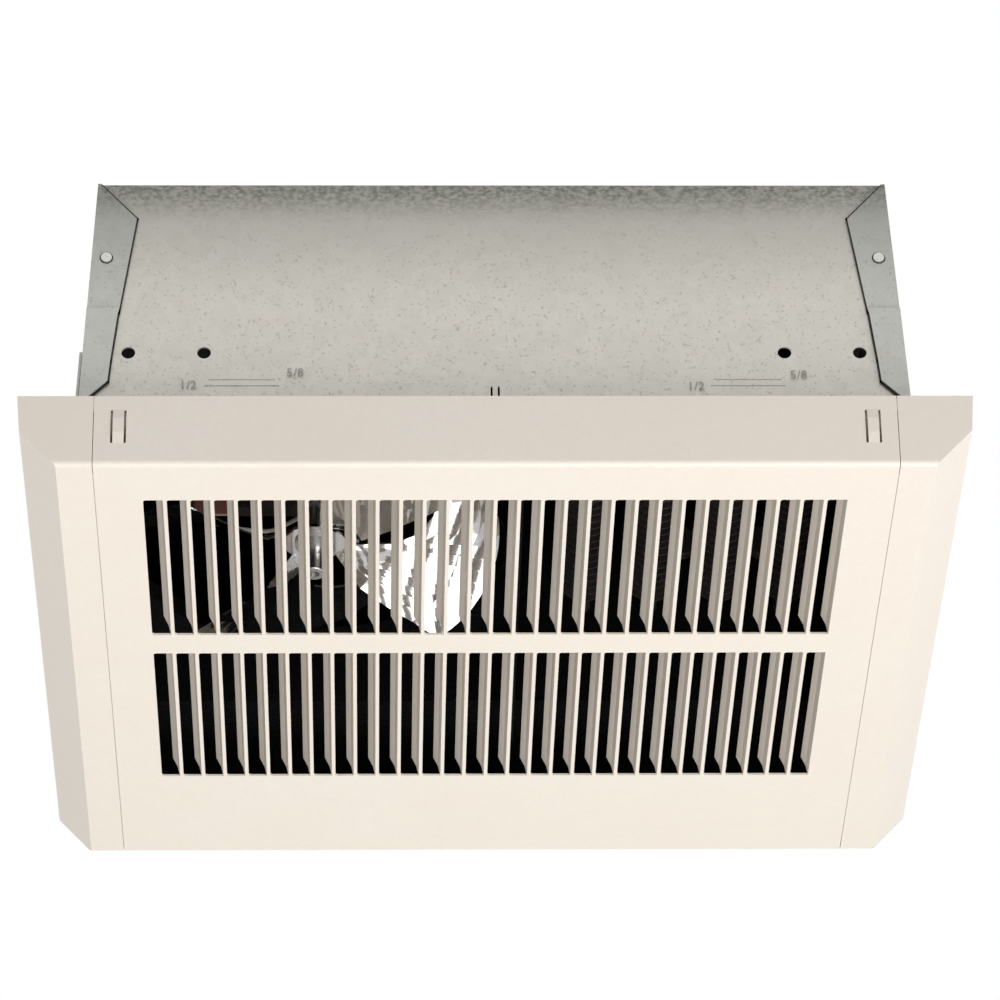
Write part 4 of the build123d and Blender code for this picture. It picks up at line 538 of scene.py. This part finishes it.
def clinch_shadow_ring(name, side_x, side_y, marks, material):
    """Painted shadow round one clinched button, as a flat dark ring on the tab."""
    button = [v.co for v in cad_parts["clinch_buttons"].data.vertices
              if v.co.x * side_x > 0 and v.co.y * side_y > 0]
    left, right = min(p.x for p in button), max(p.x for p in button)
    middle_x, radius = (left + right) / 2, (right - left) / 2
    middle_z = (min(p.z for p in button) + max(p.z for p in button)) / 2
    face_y = side_y * (max(p.y * side_y for p in button) - marks.button_proud + RING_STAND_OFF)
    count = 48
    corners = []
    for step in range(count):
        turn = 2 * math.pi * step / count
        for size in (radius, radius + marks.ring_width):
            corners.append((middle_x + size * math.cos(turn), face_y, middle_z + size * math.sin(turn)))
    ends = 2 * count
    faces = [(2 * i, 2 * i + 1, (2 * i + 3) % ends, (2 * i + 2) % ends) for i in range(count)]
    mesh = bpy.data.meshes.new(name)
    mesh.from_pydata(corners, [], faces)
    wall_piece(mesh, material)


class HEATER_OT_gauge_marks(bpy.types.Operator):
    """Stamps the plain figures of the two ceiling thicknesses beside their lines."""
    bl_idname = "heater.gauge_marks"
    bl_label = "Gauge marks"

    def execute(self, context):
        marks = context.scene.heater_marks
        ink = grained_material("Stamped figures", (0.40, 0.39, 0.35), 0.3, 0.6, scale=1500.0, tint=0.6)
        wall_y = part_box("housing_wrap")[0].y - MARK_STAND_OFF
        places = (
            ("mark_half_left", "1/2", -133.5, 12.9), ("mark_thick_left", "5/8", -87.0, 19.2),
            ("mark_half_right", "1/2", 87.5, 12.2), ("mark_thick_right", "5/8", 132.5, 18.0))
        for name, words, x, z in places:
            stamped_mark(name, words, (x * MM, wall_y, z * MM), marks.figure_height, ink)
        return {"FINISHED"}


class HEATER_OT_tab_seams(bpy.types.Operator):
    """Lays painted shadow lines along the folded tabs and painted shadow rings round the clinched buttons."""
    bl_idname = "heater.tab_seams"
    bl_label = "Tab seams"

    def execute(self, context):
        marks = context.scene.heater_marks
        # Dark painted shadow for the tab seams and the button rings.
        shadow = grained_material("Seam grime", (0.05, 0.05, 0.047), 0.1, 0.8, scale=900.0, tint=0.5)
        for across in ("left", "right"):
            for along, side in (("near", -1), ("far", 1)):
                seam_shadow_lines(f"{across}_{along}_seam", f"{across}_end_panel", side, marks, shadow)
        for across, side_x in (("left", -1), ("right", 1)):
            for along, side_y in (("near", -1), ("far", 1)):
                clinch_shadow_ring(f"{across}_{along}_ring", side_x, side_y, marks, shadow)
        return {"FINISHED"}


class HEATER_OT_grille_trim(bpy.types.Operator):
    """Paints the louvred grille and its end caps."""
    bl_idname = "heater.grille_trim"
    bl_label = "Grille trim"

    def execute(self, context):
        paint = trim_paint_material(context.scene.heater_finishes)
        dress(paint, "grille_panel", "left_trim_cap", "right_trim_cap")
        spring = grained_material("Lacquered spring steel", (0.46, 0.39, 0.31), 0.2, 0.5, stretch=(1, 1, 0.1))
        dress(spring, "grille_spring_clips")
        return {"FINISHED"}


class HEATER_OT_inner_sheets(bpy.types.Operator):
    """Finishes the sheets inside the box in near-black painted shade."""
    bl_idname = "heater.inner_sheets"
    bl_label = "Inner sheets"

    def execute(self, context):
        colour = tuple(context.scene.heater_finishes.inner_shade_colour)
        # Near-black painted shade on the inner sheets, standing in for the dark inside of the box.
        enamel = grained_material("Matt black painted shade", colour, 0.0, 0.85, scale=500.0, tint=0.6,
                                  Specular_IOR_Level=0.12)
        dress(enamel, "fan_deck", "air_divider", "wiring_partition", "wiring_floor", "element_support",
              "motor_bridge")
        zinc = grained_material("Zinc plated screws", (0.52, 0.52, 0.48), 0.9, 0.35, scale=1500.0)
        dress(zinc, "motor_bridge_screws", "motor_screws", "thermostat_screws",
              "block_screws", "terminal_screws", "hub_set_screw")
        return {"FINISHED"}


class HEATER_OT_motor(bpy.types.Operator):
    """Finishes the motor: core, coil, brackets, bearings, rotor and shaft."""
    bl_idname = "heater.motor"
    bl_label = "Motor"

    def execute(self, context):
        dress(lamination_material(), "stator_core", "motor_rotor")
        dress(winding_material(context.scene.heater_finishes), "motor_coil")
        dress(grained_material("Coil former nylon", (0.60, 0.55, 0.42), 0.0, 0.5), "coil_bobbin")
        dress(grained_material("Bare copper", (0.62, 0.28, 0.14), 1.0, 0.35), "shading_rings")
        dress(grained_material("Cast bracket", (0.50, 0.50, 0.51), 0.85, 0.45, scale=700.0),
              "lower_bearing_bracket", "upper_bearing_bracket")
        dress(grained_material("Oiled bronze", (0.42, 0.25, 0.10), 0.9, 0.4), "motor_bearings")
        dress(grained_material("Black rubber", (0.02, 0.02, 0.02), 0.0, 0.8), "motor_grommets")
        ground = grained_material("Ground shaft", (0.62, 0.62, 0.63), 1.0, 0.2, stretch=(1, 1, 8))
        dress(ground, "motor_shaft")
        return {"FINISHED"}


class HEATER_OT_fan(bpy.types.Operator):
    """Finishes the fan and its hub."""
    bl_idname = "heater.fan"
    bl_label = "Fan"

    def execute(self, context):
        dress(polished_blade_material(), "fan_blade")
        dress(grained_material("Turned hub", (0.72, 0.72, 0.73), 1.0, 0.22, stretch=(1, 1, 9)), "fan_hub")
        return {"FINISHED"}


class HEATER_OT_elements(bpy.types.Operator):
    """Finishes the heating elements, their fins, insulators and studs."""
    bl_idname = "heater.elements"
    bl_label = "Heating elements"

    def execute(self, context):
        dress(grained_material("Oxidised sheath", (0.10, 0.085, 0.075), 0.7, 0.55, scale=260.0, tint=0.5),
              "heating_elements")
        dress(grained_material("Fin strip", (0.13, 0.12, 0.115), 0.75, 0.5, scale=260.0, tint=0.6, dust=0.2),
              "element_fins")
        dress(grained_material("Steatite", (0.70, 0.66, 0.58), 0.0, 0.45, scale=600.0, tint=0.93),
              "element_insulators")
        dress(grained_material("Plated stud", (0.45, 0.42, 0.38), 0.9, 0.35), "element_terminals")
        return {"FINISHED"}


class HEATER_OT_controls(bpy.types.Operator):
    """Finishes the terminal block, the two thermostats, the bushing, the ground screw and the leads."""
    bl_idname = "heater.controls"
    bl_label = "Controls and leads"

    def execute(self, context):
        dress(grained_material("Moulded phenolic", (0.05, 0.042, 0.038), 0.0, 0.4),
              "terminal_block", "thermal_cutout", "fan_delay_switch")
        dress(grained_material("Green passivated screw", (0.05, 0.26, 0.10), 0.6, 0.35), "ground_screw")
        dress(grained_material("Black nylon", (0.03, 0.03, 0.03), 0.0, 0.5), "lead_bushing")
        dress(grained_material("White insulation", (0.78, 0.78, 0.74), 0.0, 0.42, scale=400.0, tint=0.9),
              "white_motor_lead")
        dress(grained_material("Black insulation", (0.022, 0.022, 0.022), 0.0, 0.4), "black_motor_lead")
        return {"FINISHED"}


# Stage

def soft_lamp(name, place, width, power):
    """A square soft lamp at a place, turned to the middle of the ceiling opening."""
    lamp = bpy.data.lights.new(name, "AREA")
    lamp.shape = "SQUARE"
    lamp.size = width
    lamp.energy = power
    lamp.color = WARM_WHITE
    holder = bpy.data.objects.new(name, lamp)
    bpy.context.scene.collection.objects.link(holder)
    place = Vector(place)
    turn = (-place).to_track_quat("-Z", "Y").to_matrix().to_4x4()
    holder.matrix_world = Matrix.Translation(place) @ turn
    return holder


def seen_directly(tree):
    """1 for camera, glossy and transmission rays."""
    path = add_node(tree, "ShaderNodeLightPath")
    seen = math_node(tree, "MAXIMUM", path.outputs["Is Camera Ray"], path.outputs["Is Glossy Ray"])
    return math_node(tree, "MAXIMUM", seen, path.outputs["Is Transmission Ray"])


def set_world(level):
    """Even light from all sides, over a backdrop that is plain white to the eye."""
    world = bpy.data.worlds.new("Studio")
    world.use_nodes = True
    tree = world.node_tree
    tree.nodes.clear()
    end = add_node(tree, "ShaderNodeOutputWorld")
    light = add_node(tree, "ShaderNodeBackground", Color=(1, 0.99, 0.975, 1), Strength=level)
    backdrop = add_node(tree, "ShaderNodeBackground", Color=(1, 1, 1, 1), Strength=1.0)
    blend = add_node(tree, "ShaderNodeMixShader")
    link(tree, seen_directly(tree), blend.inputs[0])
    link(tree, light.outputs[0], blend.inputs[1])
    link(tree, backdrop.outputs[0], blend.inputs[2])
    link(tree, blend.outputs[0], end.inputs[0])
    bpy.context.scene.world = world


def make_floor(drop, half=6.0):
    """Pale floor, evenly lit to the camera's eye and clear when looked at from underneath."""
    mesh = bpy.data.meshes.new("floor")
    corners = [(-half, -half, -drop), (half, -half, -drop), (half, half, -drop), (-half, half, -drop)]
    mesh.from_pydata(corners, [], [(0, 1, 2, 3)])
    floor = bpy.data.objects.new("floor", mesh)
    bpy.context.scene.collection.objects.link(floor)
    material, tree, surface = new_material("Pale floor", 0.0, 0.9)
    surface.inputs["Base Color"].default_value = (0.86, 0.86, 0.85, 1)
    end = next(node for node in tree.nodes if node.type == "OUTPUT_MATERIAL")
    pale = add_node(tree, "ShaderNodeEmission", Color=(0.90, 0.90, 0.89, 1))
    path = add_node(tree, "ShaderNodeLightPath")
    lit = add_node(tree, "ShaderNodeMixShader")
    link(tree, path.outputs["Is Camera Ray"], lit.inputs[0])
    link(tree, surface.outputs[0], lit.inputs[1])
    link(tree, pale.outputs[0], lit.inputs[2])
    side = add_node(tree, "ShaderNodeNewGeometry")
    clear = add_node(tree, "ShaderNodeBsdfTransparent")
    whole = add_node(tree, "ShaderNodeMixShader")
    link(tree, side.outputs["Backfacing"], whole.inputs[0])
    link(tree, lit.outputs[0], whole.inputs[1])
    link(tree, clear.outputs[0], whole.inputs[2])
    link(tree, whole.outputs[0], end.inputs[0])
    mesh.materials.append(material)
    return floor


def make_camera(studio):
    """The camera at the photograph's angle, looking up at the grille."""
    pitch, yaw, roll = studio.camera_pitch, studio.camera_yaw, studio.camera_roll
    ahead = Vector((math.sin(yaw) * math.cos(pitch), math.cos(yaw) * math.cos(pitch), math.sin(pitch)))
    level_right = Vector((math.cos(yaw), -math.sin(yaw), 0))
    level_up = level_right.cross(ahead)
    right = level_right * math.cos(roll) + level_up * math.sin(roll)
    up = level_up * math.cos(roll) - level_right * math.sin(roll)
    camera = bpy.data.cameras.new("camera")
    camera.lens = studio.camera_lens
    camera.sensor_width = 36
    camera.clip_end = 50
    holder = bpy.data.objects.new("camera", camera)
    bpy.context.scene.collection.objects.link(holder)
    turn = Matrix((right, up, -ahead)).transposed().to_4x4()
    holder.matrix_world = Matrix.Translation(Vector(studio.camera_place)) @ turn
    bpy.context.scene.camera = holder
    return holder


class HEATER_OT_stage(bpy.types.Operator):
    """Sets the camera, the pale floor, the soft lamps and the surrounding light."""
    bl_idname = "heater.stage"
    bl_label = "Stage"

    def execute(self, context):
        studio = context.scene.heater_studio
        set_world(studio.sky_level)
        floor = make_floor(studio.floor_drop)
        key = soft_lamp("under_lamp", (0.35, -1.0, -1.9), 1.4, studio.key_power)
        low = soft_lamp("floor_lamp", (0.42, 0.52, -1.6), 0.8, studio.floor_power)
        fill = soft_lamp("side_lamp", (1.9, -1.3, -0.7), 1.0, studio.fill_power)
        camera = make_camera(studio)
        context.scene.view_settings.view_transform = "Standard"
        return {"FINISHED"}


OPERATORS = (
    HEATER_OT_shader_groups,
    HEATER_OT_back_box,
    HEATER_OT_gauge_marks,
    HEATER_OT_tab_seams,
    HEATER_OT_grille_trim,
    HEATER_OT_inner_sheets,
    HEATER_OT_motor,
    HEATER_OT_fan,
    HEATER_OT_elements,
    HEATER_OT_controls,
    HEATER_OT_stage,
)


class HEATER_PT_panel(bpy.types.Panel):
    """Lists the heater's pieces and settings in the sidebar."""
    bl_idname = "HEATER_PT_panel"
    bl_label = "Ceiling heater"
    bl_space_type = "VIEW_3D"
    bl_region_type = "UI"
    bl_category = "Ceiling heater"

    def draw(self, context):
        layout = self.layout
        scene = context.scene
        for settings in (scene.heater_finishes, scene.heater_marks, scene.heater_studio):
            box = layout.box()
            for name in settings.__annotations__:
                box.prop(settings, name)
        for operator in OPERATORS:
            layout.operator(operator.bl_idname)


CLASSES = (HeaterFinishes, HeaterMarks, HeaterStudio, *OPERATORS, HEATER_PT_panel)


def register():
    for item in CLASSES:
        bpy.utils.register_class(item)
    bpy.types.Scene.heater_finishes = PointerProperty(type=HeaterFinishes)
    bpy.types.Scene.heater_marks = PointerProperty(type=HeaterMarks)
    bpy.types.Scene.heater_studio = PointerProperty(type=HeaterStudio)


def unregister():
    del bpy.types.Scene.heater_studio
    del bpy.types.Scene.heater_marks
    del bpy.types.Scene.heater_finishes
    for item in reversed(CLASSES):
        bpy.utils.unregister_class(item)


def main():
    register()
    bpy.ops.heater.shader_groups()
    bpy.ops.heater.back_box()
    bpy.ops.heater.gauge_marks()
    bpy.ops.heater.tab_seams()
    bpy.ops.heater.grille_trim()
    bpy.ops.heater.inner_sheets()
    bpy.ops.heater.motor()
    bpy.ops.heater.fan()
    bpy.ops.heater.elements()
    bpy.ops.heater.controls()
    bpy.ops.heater.stage()


if __name__ == "__main__":
    main()
